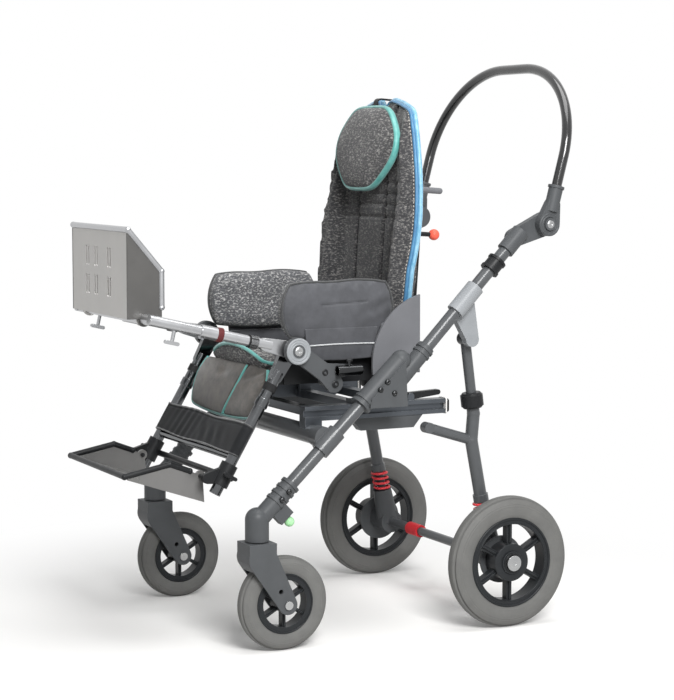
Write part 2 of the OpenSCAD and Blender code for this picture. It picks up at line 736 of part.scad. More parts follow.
// Seat base
bar_w = 24;
bar_h = 16;
bar_front_y = -112;
bar_rear_y = 106;
lug_t = 8;
lug_r = 13;
pan_half = pan_w / 2;
side_wall_t = 6;
lug_in = pan_half + side_wall_t + face_gap;
latch_r = 7;
latch_z = rail_top + latch_r + face_gap;
latch_pin_d = 6;
latch_half = 6;
rail_mid = rail_in + rail_w / 2;
ear_t = 4;
rail_slot_h = 12;
rail_slot_d = 8;
module seat_base() color("black") difference() {
    union() {
        pair() {
            translate([rail_in, rail_front_y, rail_z]) cube([rail_w, rail_rear_y - rail_front_y, rail_h]);
            translate([rail_in, rail_front_y, cross_z]) cube([rail_w, cross_d, rail_z - cross_z + over]);
            slab(lug_in, lug_in + lug_t) {
                translate([tilt_y, tilt_z]) circle(r = lug_r);
                translate([tilt_y - lug_r, rail_z]) square([2 * lug_r, tilt_z - rail_z]);
            }
            for (x = [rail_mid - latch_half - face_gap - ear_t, rail_mid + latch_half + face_gap]) slab(x, x + ear_t) {
                translate([latch_y, latch_z]) circle(r = latch_r);
                translate([latch_y - latch_r, rail_top - over]) square([2 * latch_r, latch_z - rail_top + over]);
            }
            xcyl(rail_mid - latch_half - face_gap - ear_t, rail_mid + latch_half + face_gap + ear_t, [latch_y, latch_z], latch_pin_d / 2);
        }
        for (y = [bar_front_y, tilt_y, bar_rear_y]) translate([-rail_in - over, y - bar_w / 2, rail_z])
            cube([2 * (rail_in + over), bar_w, bar_h]);
    }
    xcyl(-fx, fx, [cross_y, cross_z], cross_d / 2);
    pair() {
        xcyl(lug_in - over, lug_in + lug_t + over, [tilt_y, tilt_z], tilt_pin_d / 2 + run_gap);
        translate([rail_in + rail_w - rail_slot_d, rail_front_y - over, rail_z + (rail_h - rail_slot_h) / 2])
            cube([rail_slot_d + over, rail_rear_y - rail_front_y + 2 * over, rail_slot_h]);
    }
}
skid_slope_share = 0.13;
skid_in = 2;
module rail_skids() color("gray") pair() slab(rail_in + skid_in, rail_in + rail_w - skid_in)
    polygon([[skid_y - skid_l / 2, rail_z], [skid_y + skid_l / 2, rail_z],
        [skid_y + skid_l * (0.5 - skid_slope_share), rail_z - skid_h], [skid_y - skid_l * (0.5 - skid_slope_share), rail_z - skid_h]]);
cap_t = 9;
cap_rim = 1.5;
module rail_caps() color("white") pair() translate([rail_in - cap_rim, rail_rear_y, rail_z - cap_rim])
    cube([rail_w + 2 * cap_rim, cap_t, rail_h + 2 * cap_rim]);
latch_tip = 5;
latch_rise = 5;
module fold_latches() color("black") pair() difference() {
    slab(rail_mid - latch_half, rail_mid + latch_half)
        link([latch_y, latch_z], [latch_y + latch_l, latch_z + latch_rise], latch_r, latch_tip);
    xcyl(rail_mid - latch_half - over, rail_mid + latch_half + over, [latch_y, latch_z], latch_pin_d / 2 + run_gap);
}
knuckle_bolt_s = [44, 64];
sleeve_bolt_s = [58, 78];
module bolt(x, p) {
    xcyl(x, x + bolt_head_h, p, bolt_head_d / 2);
}
module frame_bolts() color("black") pair() {
    for (s = knuckle_bolt_s) bolt(fx + gusset_in, low(knuckle_s + s));
    for (s = sleeve_bolt_s) bolt(fx + sleeve_d / 2 + rib_h, low(s));
    bolt(fx + gusset_in, gusset_bolt);
}

// Brackets on the upper tubes
bracket_s = 196;
bracket_half = 32;
bracket_t = 8;
eye_half = strut_d / 2 + bead;
lobe_in = leg_x + eye_half + face_gap;
lobe_r = 14;
pin_head_t = 3;
pin_head_d = 15;
module leg_brackets() color("darkslategray") pair() {
    difference() {
        union() {
            rod(p3(fx, up(bracket_s - bracket_half)), p3(fx, up(bracket_s + bracket_half)), main_r + ring_t);
            slab(lobe_in, fx - main_r + tube_wall) {
                polygon([up(bracket_s - bracket_half), up(bracket_s + bracket_half), leg_pivot + [lobe_r, 0], leg_pivot - [lobe_r, 0]]);
                translate(leg_pivot) circle(r = lobe_r);
            }
        }
        rod(p3(fx, up(bracket_s - 2 * bracket_half)), p3(fx, up(bracket_s + 2 * bracket_half)), main_r);
    }
    xcyl(leg_x - eye_half - face_gap - over, lobe_in + over, leg_pivot, leg_pin_d / 2);
    xcyl(leg_x - eye_half - face_gap - pin_head_t, leg_x - eye_half - face_gap, leg_pivot, pin_head_d / 2);
}
elbow_s = 322;
elbow_l = 50;
elbow_r = 17;
elbow_t = 15;
hinge_t = 16;
hinge_in = handle_x - hinge_t / 2;
hinge_pin_d = 12;
hinge_cap_d = 24;
hinge_cap_t = 4;
module handle_brackets() color("darkslategray") pair() {
    difference() {
        union() {
            rod(p3(fx, up(elbow_s)), p3(fx, up(elbow_s + elbow_l)), elbow_r);
            slab(hinge_in - face_gap - elbow_t, hinge_in - face_gap) link(up(elbow_s + elbow_l - elbow_r), hinge, elbow_r, hinge_d / 2);
        }
        rod(p3(fx, up(elbow_s - over)), p3(fx, up(upper_l)), main_r);
    }
    xcyl(hinge_in - face_gap - over, hinge_in + hinge_t + face_gap + over, hinge, hinge_pin_d / 2);
    xcyl(hinge_in + hinge_t + face_gap, hinge_in + hinge_t + face_gap + hinge_cap_t, hinge, hinge_cap_d / 2);
}

// Rear legs
eye_r = 13;
bush_d = 30;
bush_h = 14;
hook_r = 10;
plunger_low_s = 22;
module leg_body() {
    ls = p3(leg_x, leg_collar);
    u = (leg_bend - leg_collar) / norm(leg_bend - leg_collar);
    rod(p3(leg_x, leg_pivot), p3(leg_x, leg_collar + strut_d / 2 * u), strut_d / 2);
    rod(ls, p3(leg_x, leg_bend), leg_d / 2);
    ball(p3(leg_x, leg_bend), leg_d / 2 + bead);
    rod(p3(leg_x, leg_bend), p3(leg_x, branch), leg_d / 2);
    ball(p3(leg_x, branch), leg_d / 2 + bead);
    rod(p3(leg_x, branch), p3(leg_x, slide(leg_end_s)), leg_d / 2);
}
module rear_legs() color("dimgray") pair() difference() {
    union() {
        leg_body();
        xcyl(leg_x - eye_half, leg_x + eye_half, leg_pivot, eye_r);
        rod(p3(leg_x, branch), p3(leg_x, hook), hook_r);
        xcyl(leg_x - hook_r - bead, leg_x + hook_r + bead, hook, hook_r + bead);
        rod(p3(leg_x, slide(leg_end_s - bead)), p3(leg_x, slide(leg_end_s + bush_h)), bush_d / 2);
        rod(p3(leg_x, slide(plunger_low_s + travel)), p3(leg_x, slide(leg_end_s + over)), plunger_d / 2);
    }
    xcyl(leg_x - strut_d, leg_x + strut_d, leg_pivot, leg_pin_d / 2 + run_gap);
}
collar_chamfer = 4;
module leg_collars() color("black") pair() difference() {
    u = (leg_pivot - leg_collar) / norm(leg_pivot - leg_collar);
    h = leg_collar_h / 2;
    union() {
        rod(p3(leg_x, leg_collar - (h - collar_chamfer) * u), p3(leg_x, leg_collar + (h - collar_chamfer) * u), leg_collar_d / 2);
        for (k = [-1, 1]) cone(p3(leg_x, leg_collar + k * (h - collar_chamfer - over) * u), p3(leg_x, leg_collar + k * h * u),
            leg_collar_d / 2 - bead, leg_collar_d / 2 - collar_chamfer);
    }
    leg_body();
}

// Suspension and rear axle
housing_top_s = leg_end_s - bead - spring_l;
housing_in = 19;
hub_in = rear_track / 2 - rear_hub_w / 2 - face_gap;
module axle_housings() color("darkslategray") pair() difference() {
    union() {
        cone(p3(leg_x, slide(housing_top_s)), p3(leg_x, slide(0)), housing_top_d / 2, housing_d / 2);
        xcyl(leg_x - housing_in, hub_in, rear_axle, housing_d / 2);
        xcyl(hub_in - drum_t, hub_in, rear_axle, drum_d / 2);
    }
    rod(p3(leg_x, slide(plunger_low_s)), p3(leg_x, slide(housing_top_s + over)), plunger_d / 2 + run_gap);
    xcyl(leg_x + housing_in, hub_in + over, rear_axle, rear_axle_d / 2);
    xcyl(leg_x - housing_in - over, leg_x, rear_axle, axle_bar_d / 2);
}
module axle_pins() color("silver") pair() {
    xcyl(leg_x + housing_in, rear_track / 2 + rear_hub_w / 2 + face_gap + over, rear_axle, rear_axle_d / 2);
    xcyl(rear_track / 2 + rear_hub_w / 2 + face_gap, rear_track / 2 + rear_hub_w / 2 + face_gap + axle_head_t, rear_axle, axle_head_d / 2);
}
module axle_bar() color("dimgray") difference() {
    xcyl(-leg_x, leg_x, rear_axle, axle_bar_d / 2);
    xcyl(-leg_x - over, leg_x + over, rear_axle, axle_bar_d / 2 - tube_wall);
}
// One coil is one tube, wound as rings of points
spring_rings = 8;
spring_sides = 6;
spring_n = spring_turns * spring_rings;
spring_rise = spring_l - 2 * soft_gap - spring_wire;
function coil(k) = [spring_d / 2 * cos(360 * k / spring_rings), spring_d / 2 * sin(360 * k / spring_rings),
    spring_rise * k / spring_n];
spring_gap = min([for (k = [0:spring_n - spring_rings]) norm(coil(k + spring_rings) - coil(k))]) - spring_wire;
echo(spring_gap = spring_gap);
module spring() {
    m = spring_sides;
    tilt = atan2(spring_rise / spring_turns, PI * spring_d);
    pts = [for (k = [0:spring_n], j = [0:m - 1])
        let (t = 360 * k / spring_rings, f = 360 * j / m, r = spring_wire / 2)
        coil(k) + r * cos(f) * [cos(t), sin(t), 0] + r * sin(f) * [sin(t) * sin(tilt), -cos(t) * sin(tilt), cos(tilt)]];
    color("crimson") translate(p3(leg_x, slide(housing_top_s + soft_gap + spring_wire / 2)))
        rotate([-atan2(slide_u[0], slide_u[1]), 0, 0])
        polyhedron(points = pts, faces = concat(
            [for (k = [0:spring_n - 1], j = [0:m - 1]) [k * m + j, (k + 1) * m + j, (k + 1) * m + (j + 1) % m]],
            [for (k = [0:spring_n - 1], j = [0:m - 1]) [k * m + j, (k + 1) * m + (j + 1) % m, k * m + (j + 1) % m]],
            [[for (j = [0:m - 1]) j]], [[for (j = [m - 1:-1:0]) spring_n * m + j]]));
}
module spring_left() spring();
module spring_right() mirror([1, 0, 0]) spring();
pedal_wall = 4;
pedal_t = 7;
pedal_drop = 16;
module brake_pedal() color("crimson") difference() {
    r = axle_bar_d / 2 + pedal_wall;
    union() {
        xcyl(pedal_x - pedal_w / 2, pedal_x + pedal_w / 2, rear_axle, r);
        slab(pedal_x - pedal_w / 2, pedal_x + pedal_w / 2)
            link(rear_axle + [0, -pedal_wall], rear_axle + [pedal_l, -pedal_drop], pedal_t, pedal_t / 2);
    }
    xcyl(pedal_x - pedal_w, pedal_x + pedal_w, rear_axle, axle_bar_d / 2 + run_gap);
}

// Handle
// Handle tube: a ring of points carried up one side, round the arch and down the other, with an inner skin
handle_sides = 16;
handle_arc = 9;
function handle_half(k) = concat([[k * handle_x, handle_socket_l / 2, k > 0 ? 0 : 180]], [for (i = [0:handle_arc]) let (t = 90 * i / handle_arc)
    [k * (handle_x - arch_r + arch_r * cos(t)), norm(kink - hinge) + arch_r * sin(t), k > 0 ? t : 180 - t]]);
handle_back = handle_half(-1);
handle_path = concat(handle_half(1), [for (i = [len(handle_back) - 1:-1:0]) handle_back[i]]);
function handle_ring(p, r) = [for (j = [0:handle_sides - 1]) let (f = 360 * j / handle_sides)
    p3(p[0] + r * cos(f) * cos(p[2]), hinge + (p[1] + r * cos(f) * sin(p[2])) * dir(handle_angle) + r * sin(f) * side(handle_angle))];
module handle_tube() color("black") {
    n = len(handle_path);
    m = handle_sides;
    polyhedron(points = concat([for (p = handle_path) each handle_ring(p, handle_d / 2)], [for (p = handle_path) each handle_ring(p, handle_d / 2 - tube_wall)]),
        faces = concat(
            [for (i = [0:n - 2], j = [0:m - 1], k = [0, 1]) let (a = i * m + j, b = i * m + (j + 1) % m) k == 0 ? [a, b + m, a + m] : [a, b, b + m]],
            [for (i = [0:n - 2], j = [0:m - 1], k = [0, 1]) let (a = (n + i) * m + j, b = (n + i) * m + (j + 1) % m) k == 0 ? [a, a + m, b + m] : [a, b + m, b]],
            [for (e = [0, n - 1], j = [0:m - 1], k = [0, 1]) let (a = e * m + j, b = e * m + (j + 1) % m, c = a + n * m, d = b + n * m)
                e == 0 ? (k == 0 ? [a, d, b] : [a, c, d]) : (k == 0 ? [a, b, d] : [a, d, c])]));
}
socket_wall_t = 4;
module handle_sockets() color("darkslategray") pair() difference() {
    a = dir(handle_angle);
    union() {
        slab(hinge_in, hinge_in + hinge_t) link(hinge, hinge + handle_socket_l / 2 * a, hinge_d / 2, handle_d / 2 + socket_wall_t);
        rod(p3(handle_x, hinge + handle_socket_l / 3 * a), p3(handle_x, hinge + handle_socket_l * a), handle_d / 2 + socket_wall_t);
        rod(p3(handle_x, hinge + (handle_socket_l - ring_w) * a), p3(handle_x, hinge + handle_socket_l * a), handle_d / 2 + socket_wall_t + ring_h);
    }
    rod(p3(handle_x, hinge + handle_socket_l / 2 * a), p3(handle_x, hinge + (handle_socket_l + over) * a), handle_d / 2);
    xcyl(hinge_in - over, hinge_in + hinge_t + over, hinge, hinge_pin_d / 2 + run_gap);
}

// Seat
lip_t = 12;
pan_top = pan_z + pan_t;
lip_run = 24;
module seat_pan() color("darkslategray") {
    slab(-pan_half, pan_half) polygon([[pan_front_y, pan_top], [pan_rear_y, pan_top], [pan_rear_y, pan_z],
        [pan_front_y + lip_t, pan_z], [pan_front_y - lip_run + lip_t, pan_z - pan_lip], [pan_front_y - lip_run, pan_z - pan_lip],
        [pan_front_y - lip_t, pan_z]]);
    pair() {
        slab(pan_half - over, pan_half + side_wall_t) {
            polygon([[pan_front_y + lip_run, pan_z], [pan_rear_y, pan_z], [pan_rear_y, pan_top + pan_side_h - lip_run],
                [pan_rear_y - lip_run, pan_top + pan_side_h],
                [pan_front_y + 2 * lip_run, pan_top + pan_side_h], [pan_front_y + lip_run, pan_top + pan_side_h - lip_run]]);
            translate([tilt_y, tilt_z]) circle(r = lug_r);
            translate([tilt_y - lug_r, tilt_z]) square([2 * lug_r, pan_top - tilt_z]);
        }
        xcyl(pan_half, lug_in + lug_t + over, [tilt_y, tilt_z], tilt_pin_d / 2);
    }
}
// Seat cushion: crowned, with sides drawn in and two sewn channels across
seat_pull = 6;
seat_na = 16;
seat_nb = 16;
channel_w_share = 0.07;
seat_channel_shares = [-0.35, 0.3];
seat_round_share = 0.35;
cushion_side = 6.5;
cushion_half = pan_half - cushion_side;
cushion_droop = 20;
cushion_y0 = pan_front_y - cushion_over;
cushion_y1 = back_y - 2 * shell_n;
function seat_at(a, b, top) = let (
    x = ring_a(a, b, seat_round_share) * (cushion_half - seat_pull * (1 - b * b)),
    f = ring_b(a, b, seat_round_share),
    y = (cushion_y0 + cushion_y1) / 2 + f * (cushion_y1 - cushion_y0) / 2,
    d = max(0, -b - 0.5) * 2,
    g = channel_d * (groove(b, seat_channel_shares[0], channel_w_share) + groove(b, seat_channel_shares[1], channel_w_share)))
    top ? [x, y, pan_top + soft_gap + cushion_edge - cushion_droop * d * d + (cushion_crown - g) * swell(a, b)]
    : [x, y, pan_top + soft_gap];
module seat_cushion() color("slategray") skin(
    [for (i = [0:seat_na], j = [0:seat_nb]) seat_at(spot(i, seat_na), spot(j, seat_nb), true)],
    [for (i = [0:seat_na], j = [0:seat_nb]) seat_at(spot(i, seat_na), spot(j, seat_nb), false)], seat_na, seat_nb);
// Seat apron: a quilted flap down the front lip of the seat, with one long seam and a kicked out hem
apron_na = 16;
apron_nb = 12;
apron_drop = 4;
apron_round_share = 0.3;
apron_edge_share = 0.4;
apron_seam_share = 0.12;
apron_seam_w_share = 0.05;
lip_slope_share = (lip_run - lip_t) / pan_lip;
function apron_at(a, b, front) = let (
    x = ring_a(a, b, apron_round_share) * apron_half,
    v = (1 - ring_b(a, b, apron_round_share)) / 2,
    e = apron_edge_share + (1 - apron_edge_share) * swell(a, b),
    g = channel_d * groove(a, apron_seam_share, apron_seam_w_share),
    z = pan_top - apron_drop - v * apron_h,
    y = pan_front_y - lip_t - soft_gap - lip_slope_share * (pan_z - z) - apron_kick * v * v)
    [x, y - (front ? (apron_t - g) * e : 0), z];
module seat_apron() color("dimgray") skin(
    [for (i = [0:apron_na], j = [0:apron_nb]) apron_at(spot(i, apron_na), spot(j, apron_nb), true)],
    [for (i = [0:apron_na], j = [0:apron_nb]) apron_at(spot(i, apron_na), spot(j, apron_nb), false)], apron_na, apron_nb);
// Hip pads: round cornered cushions, crowned on both faces
hip_na = 14;
hip_nb = 12;
hip_round_share = 0.5;
hip_edge_share = 0.55;
function hip_at(a, b, s) = let (
    y = (hip_front_y + hip_rear_y) / 2 + ring_a(a, b, hip_round_share) * (hip_rear_y - hip_front_y) / 2,
    z = (hip_low_z + hip_top_z) / 2 + ring_b(a, b, hip_round_share) * (hip_top_z - hip_low_z) / 2,
    h = hip_t / 2 * (hip_edge_share + (1 - hip_edge_share) * swell(a, b)))
    [hip_in + hip_t / 2 + s * h, y, z];
module hip_pad() color("dimgray") skin(
    [for (i = [0:hip_na], j = [0:hip_nb]) hip_at(spot(i, hip_na), spot(j, hip_nb), 1)],
    [for (i = [0:hip_na], j = [0:hip_nb]) hip_at(spot(i, hip_na), spot(j, hip_nb), -1)], hip_na, hip_nb);
module hip_pad_left() hip_pad();
module hip_pad_right() mirror([1, 0, 0]) hip_pad();
spacer_d = 16;
stud_shares = [0.84, -0.66];
stud_end_shares = [0.78, -0.56];
hip_stud = hip_at(stud_shares[0], stud_shares[1], 1);
side_low = 18;
back_pin_in = 136;
back_axis = [back_y, back_z];
module side_plates() color("gray") pair() {
    slab(side_in, side_in + side_t) intersection() {
        translate([side_mid_y, side_z]) circle(r = side_r);
        translate([side_mid_y - side_r, side_z - side_low]) square([side_r + pan_rear_y + lip_t - side_mid_y, side_low + side_r]);
    }
    for (y = [pan_rear_y - 2 * lip_run - lip_t, pan_rear_y - lip_t]) xcyl(pan_half + side_wall_t, side_in + over, [y, pan_top + spacer_d / 2], spacer_d / 2);
    xcyl(back_pin_in, side_in + over, back_axis, back_pin_d / 2);
    xcyl(hip_at(stud_end_shares[0], stud_end_shares[1], 1)[0] + soft_gap, side_in + over, [hip_stud[1], hip_stud[2]], spacer_d / 2);
}
// Knee links carry the legrest and the front support on one pin
stack_gap = face_gap;
shin_half = 6.5;
arm_half = 6.5;
arm_x = shin_x + shin_half + stack_gap + arm_half;
link_in = arm_x + arm_half + stack_gap;
link_t = 8;
link_bolt_a = [-124, 504];
link_bolt_b = [-104, 482];
link_r = 17;
socket_y0 = -104;
socket_z = 507;
socket_ro = socket_bore / 2 + socket_wall;
socket_x = link_in + link_t + socket_ro;
socket_seat = 4;
module knee_links() color("dimgray") pair() {
    slab(link_in, link_in + link_t) {
        link(knee, link_bolt_a, knee_disc_d / 3, link_r);
        link(link_bolt_a, link_bolt_b, link_r, link_r);
        link(link_bolt_a, [socket_y0 + socket_l - link_r, socket_z], link_r, socket_ro);
    }
    xcyl(link_in + link_t - over, link_in + link_t + knee_disc_t, knee, knee_disc_d / 2);
    xcyl(link_in + link_t + knee_disc_t - over, link_in + link_t + knee_disc_t + rib_h, knee, knee_disc_d / 4);
    xcyl(shin_x - shin_half - stack_gap, link_in + over, knee, knee_pin_d / 2);
    for (p = [link_bolt_a, link_bolt_b]) xcyl(pan_half + side_wall_t, link_in + over, p, spacer_d / 2);
    xcyl(link_in + link_t - over, link_in + link_t + bolt_head_h, link_bolt_b, bolt_head_d / 2);
}
screw_d = 6;
screw_h = 9;
screw_knob_d = 13;
module accessory_sockets() color("silver") pair() difference() {
    union() {
        rod([socket_x, socket_y0, socket_z], [socket_x, socket_y0 + socket_l, socket_z], socket_ro);
        translate([link_in + link_t, socket_y0 + socket_l / 4, socket_z - socket_seat])
            cube([socket_ro, socket_l / 2, 2 * socket_seat]);
        translate([socket_x, socket_y0 + socket_l / 2, socket_z]) cylinder(h = socket_ro + screw_h, r = screw_d / 2);
        translate([socket_x, socket_y0 + socket_l / 2, socket_z + socket_ro + screw_h - rib_h]) cylinder(h = bolt_head_h, r = screw_knob_d / 2);
    }
    rod([socket_x, socket_y0 - over, socket_z], [socket_x, socket_y0 + socket_l + over, socket_z], socket_bore / 2);
}

// Backrest, in its own leaning frame: x across, n forward, h up from the recline axis
function back_at(x, n, h) = [x, back_y + h * sin(back_lean) - n * cos(back_lean), back_z + h * cos(back_lean) + n * sin(back_lean)];
module back_frame() translate([0, back_y, back_z]) rotate([-back_lean, 0, 0]) children();
shell_low = 6;
shell_half_share = 0.9;
shell_round = 46;
shell_lug_t = 8;
module back_shell() color("black") back_frame() {
    ht = back_top_half * shell_half_share;
    hb = back_pin_in + shell_lug_t;
    translate([0, shell_n + shell_t, 0]) rotate([90, 0, 0]) linear_extrude(height = shell_t)
        polygon([[-hb, -shell_low], [hb, -shell_low], [hb, back_h * 0.6], [ht, back_h - shell_round], [ht - shell_round, back_h - lip_t],
            [-ht + shell_round, back_h - lip_t], [-ht, back_h - shell_round], [-hb, back_h * 0.6]]);
    pair() difference() {
        slab(back_pin_in, back_pin_in + shell_lug_t) {
            circle(r = lug_r);
            translate([0, -shell_low]) square([shell_n + over, lug_r + shell_low]);
        }
        xcyl(back_pin_in - over, back_pin_in + shell_lug_t + over, [0, 0], back_pin_d / 2 + run_gap);
    }
}
// Back cushion: side wings, a middle panel between two long channels, and four cross seams
back_na = 20;
back_nb = 20;
back_low = 40;
panel_share = 0.32;
wing_start_share = 0.66;
wing_top_share = 0.75;
taper_share = 0.55;
seam_shares = [-0.02, 0.09, 0.18, 0.28];
seam_w_share = 0.028;
panel_w_share = 0.05;
back_edge_share = 0.45;
back_round_share = 0.4;
head_clear_n = -shell_n + soft_gap + back_mid_t;
function back_half_at(h) = let (t = max(0, (h / back_h - taper_share) / (1 - taper_share))) back_half + (back_top_half - back_half) * t * t;
function wing(a) = pow(max(0, (abs(a) - wing_start_share) / (1 - wing_start_share)), 1.5);
function back_pt(a, b, front) = let (
    h = (back_low + back_h) / 2 + ring_b(a, b, back_round_share) * (back_h - back_low) / 2,
    x = ring_a(a, b, back_round_share) * back_half_at(h),
    low_t = max(0, 1 - h / (head_h0 - head_half_h)),
    w = back_wing_t * wing(a) * (wing_top_share + (1 - wing_top_share) * min(1, 3 * low_t)) * (1 - pow(max(0, b), 6)),
    g = channel_d * (groove(abs(a), panel_share, panel_w_share)
        + 0.6 * max([for (s = seam_shares) groove(b, s, seam_w_share)])),
    e = swell(a, b),
    t = (back_mid_t - g) * (back_edge_share + (1 - back_edge_share) * e) + w)
    back_at(x, -shell_n + soft_gap + (front ? t : 0), h);
module back_cushion() color("slategray") skin(
    [for (i = [0:back_na], j = [0:back_nb]) back_pt(spot(i, back_na), spot(j, back_nb), true)],
    [for (i = [0:back_na], j = [0:back_nb]) back_pt(spot(i, back_na), spot(j, back_nb), false)], back_na, back_nb);
knob_x = 118;
knob_h = 236;
knob_stem = 44;
back_knob_d = 22;
pin_h = 322;
pin_l = 62;
pin_d = 12;
module back_knobs() color("tomato") pair() {
    rod(back_at(knob_x, -shell_n - shell_t, knob_h), back_at(knob_x, -shell_n - shell_t - knob_stem, knob_h), pin_d / 2);
    ball(back_at(knob_x, -shell_n - shell_t - knob_stem, knob_h), back_knob_d / 2);
    rod(back_at(back_top_half - pin_d, -shell_n - shell_t, pin_h), back_at(back_top_half - pin_d, -shell_n - shell_t - pin_l, pin_h), pin_d / 2);
    rod(back_at(back_top_half - pin_d, -shell_n - shell_t - pin_l + over, pin_h), back_at(back_top_half - pin_d, -shell_n - shell_t - pin_l - ring_w, pin_h), pin_d);
}
// Head pad: eight sided with softened corners, on a post that slides in the back shell
head_na = 16;
head_nb = 12;
head_round_share = 0.72;
head_edge_share = 0.5;
head_drop = 20;
head_n = -shell_n + soft_gap + back_mid_t + head_half_h * sin(head_lean) + soft_gap + rib_h;
function head_at(a, b, front) = let (
    u = ring_a(a, b, head_round_share) * head_half,
    v = ring_b(a, b, head_round_share) * head_half_h,
    e = head_edge_share + (1 - head_edge_share) * swell(a, b),
    n = front ? head_t * e : 0)
    back_at(u, head_n - v * sin(head_lean) + n * cos(head_lean), head_h0 + v * cos(head_lean) + n * sin(head_lean));
module head_pad() color("slategray") skin(
    [for (i = [0:head_na], j = [0:head_nb]) head_at(spot(i, head_na), spot(j, head_nb), true)],
    [for (i = [0:head_na], j = [0:head_nb]) head_at(spot(i, head_na), spot(j, head_nb), false)], head_na, head_nb);
post_half = 14;
post_t = 6;
post_top = 16;
post_l = 150;
tongue_n = head_n - head_half_h * sin(head_lean) + rib_h;
tongue_h = head_h0 + head_half_h * cos(head_lean) + (post_t + rib_h) * sin(head_lean) + soft_gap;
module head_post() color("silver") back_frame() {
    y0 = shell_n + shell_t + face_gap;
    translate([-post_half, y0, back_h - post_l]) cube([2 * post_half, post_t, post_l + post_top]);
    translate([-post_half, -head_n + face_gap, back_h + post_top - post_t])
        cube([2 * post_half, y0 + head_n + post_t - face_gap, post_t]);
    translate([-post_half, -tongue_n - post_t, tongue_h]) cube([2 * post_half, post_t, back_h + post_top - tongue_h]);
}

// Legrest, along the leg line from the knee axis: s down the leg, n to the front
shin_u = [-cos(shin_angle), -sin(shin_angle)];
shin_n = [-sin(shin_angle), cos(shin_angle)];
function shin(s, n = 0) = knee + s * shin_u + n * shin_n;
knuckle_l = 58;
shin_end_r = 12;
strap_s = [104, 138];
strap_l = 16;
shin_bar_s = 226;
shin_bar_d = 14;
module leg_tubes() color("dimgray") difference() {
    union() {
        pair() {
            slab(shin_x - shin_half, shin_x + shin_half) link(knee, shin(knuckle_l), knee_disc_d / 3, shin_end_r);
            rod(p3(shin_x, shin(knuckle_l - shin_end_r)), p3(shin_x, shin(shin_l)), shin_d / 2);
            rod(p3(shin_x, shin(strap_s[0])), p3(shin_x, shin(strap_s[0] + strap_l)), shin_d / 2 + ring_h);
            xcyl(shin_x + shin_half - over, shin_x + shin_half + ring_h / 4, shin(knuckle_l - shin_end_r / 2), bolt_head_d / 2);
        }
        xcyl(-shin_x, shin_x, shin(shin_bar_s), shin_bar_d / 2);
    }
    pair() {
        xcyl(shin_x - shin_half - over, shin_x + shin_half + over, knee, knee_pin_d / 2 + run_gap);
        rod(p3(shin_x, shin(shin_bar_s + shin_bar_d)), p3(shin_x, shin(shin_l + over)), shin_d / 2 - tube_wall);
    }
}
// Calf band: cloth across the front of both tubes, wrapped at its ends and gathered
band_na = 24;
band_nb = 6;
band_fold = 2;
band_folds = 5;
band_half = shin_x + shin_d / 2 + soft_gap + band_t;
band_wrap_share = 0.5;
band_sag = 2;
function band_at(a, b, front) = let (
    r = shin_d / 2 + soft_gap + (front ? band_t : 0),
    w = max(0, (abs(a) - band_wrap_share) / (1 - band_wrap_share)),
    t = 100 * w,
    k = 1 - w,
    x = abs(a) <= band_wrap_share ? a / band_wrap_share * shin_x : sign(a) * (shin_x + r * sin(t)),
    n = r * cos(t) - band_sag * (1 - pow(a / band_wrap_share, 2)) * (w > 0 ? 0 : 1)
        + band_fold * sin(180 * band_folds * b) * swell(a / band_wrap_share * (w > 0 ? 0 : 1), b) * (w > 0 ? 0 : 1))
    p3(x, shin(band_s + band_l / 2 - b * band_l / 2, n));
module calf_band() color("black") skin(
    [for (i = [0:band_na], j = [0:band_nb]) band_at(2 * i / band_na - 1, 2 * j / band_nb - 1, true)],
    [for (i = [0:band_na], j = [0:band_nb]) band_at(2 * i / band_na - 1, 2 * j / band_nb - 1, false)], band_na, band_nb);

// Foot clamps slide on the leg tubes and carry the footplate hinge
foot = [foot_y, foot_z];
lug_half = 5;
foot_lug_r = 10;
clamp_bar_d = 12;
wing_d = 7;
wing_l = 22;
foot_x = shin_x + shin_half;
module foot_clamps() color("black") difference() {
    union() {
        pair() {
            rod(p3(shin_x, shin(clamp_s - clamp_l / 2)), p3(shin_x, shin(clamp_s + clamp_l / 2)), clamp_d / 2);
            slab(shin_x - lug_half, shin_x + lug_half) link(shin(clamp_s), foot, clamp_d / 2, foot_lug_r);
            xcyl(plate_half - 2 * plate_t, shin_x, foot, foot_pin_d / 2);
            xcyl(shin_x, shin_x + clamp_d / 2 + wing_l / 2, shin(clamp_s), wing_d / 2);
            slab(shin_x + clamp_d / 2 + wing_l / 2 - wing_d / 2, shin_x + clamp_d / 2 + wing_l / 2 + wing_d / 2)
                link(shin(clamp_s, -wing_l / 2), shin(clamp_s, wing_l / 2), wing_d / 2, wing_d / 2);
        }
        xcyl(-shin_x, shin_x, shin(clamp_s, -clamp_d / 2), clamp_bar_d / 2);
    }
    pair() rod(p3(shin_x, shin(clamp_s - clamp_l)), p3(shin_x, shin(clamp_s + clamp_l)), shin_d / 2 + run_gap);
}
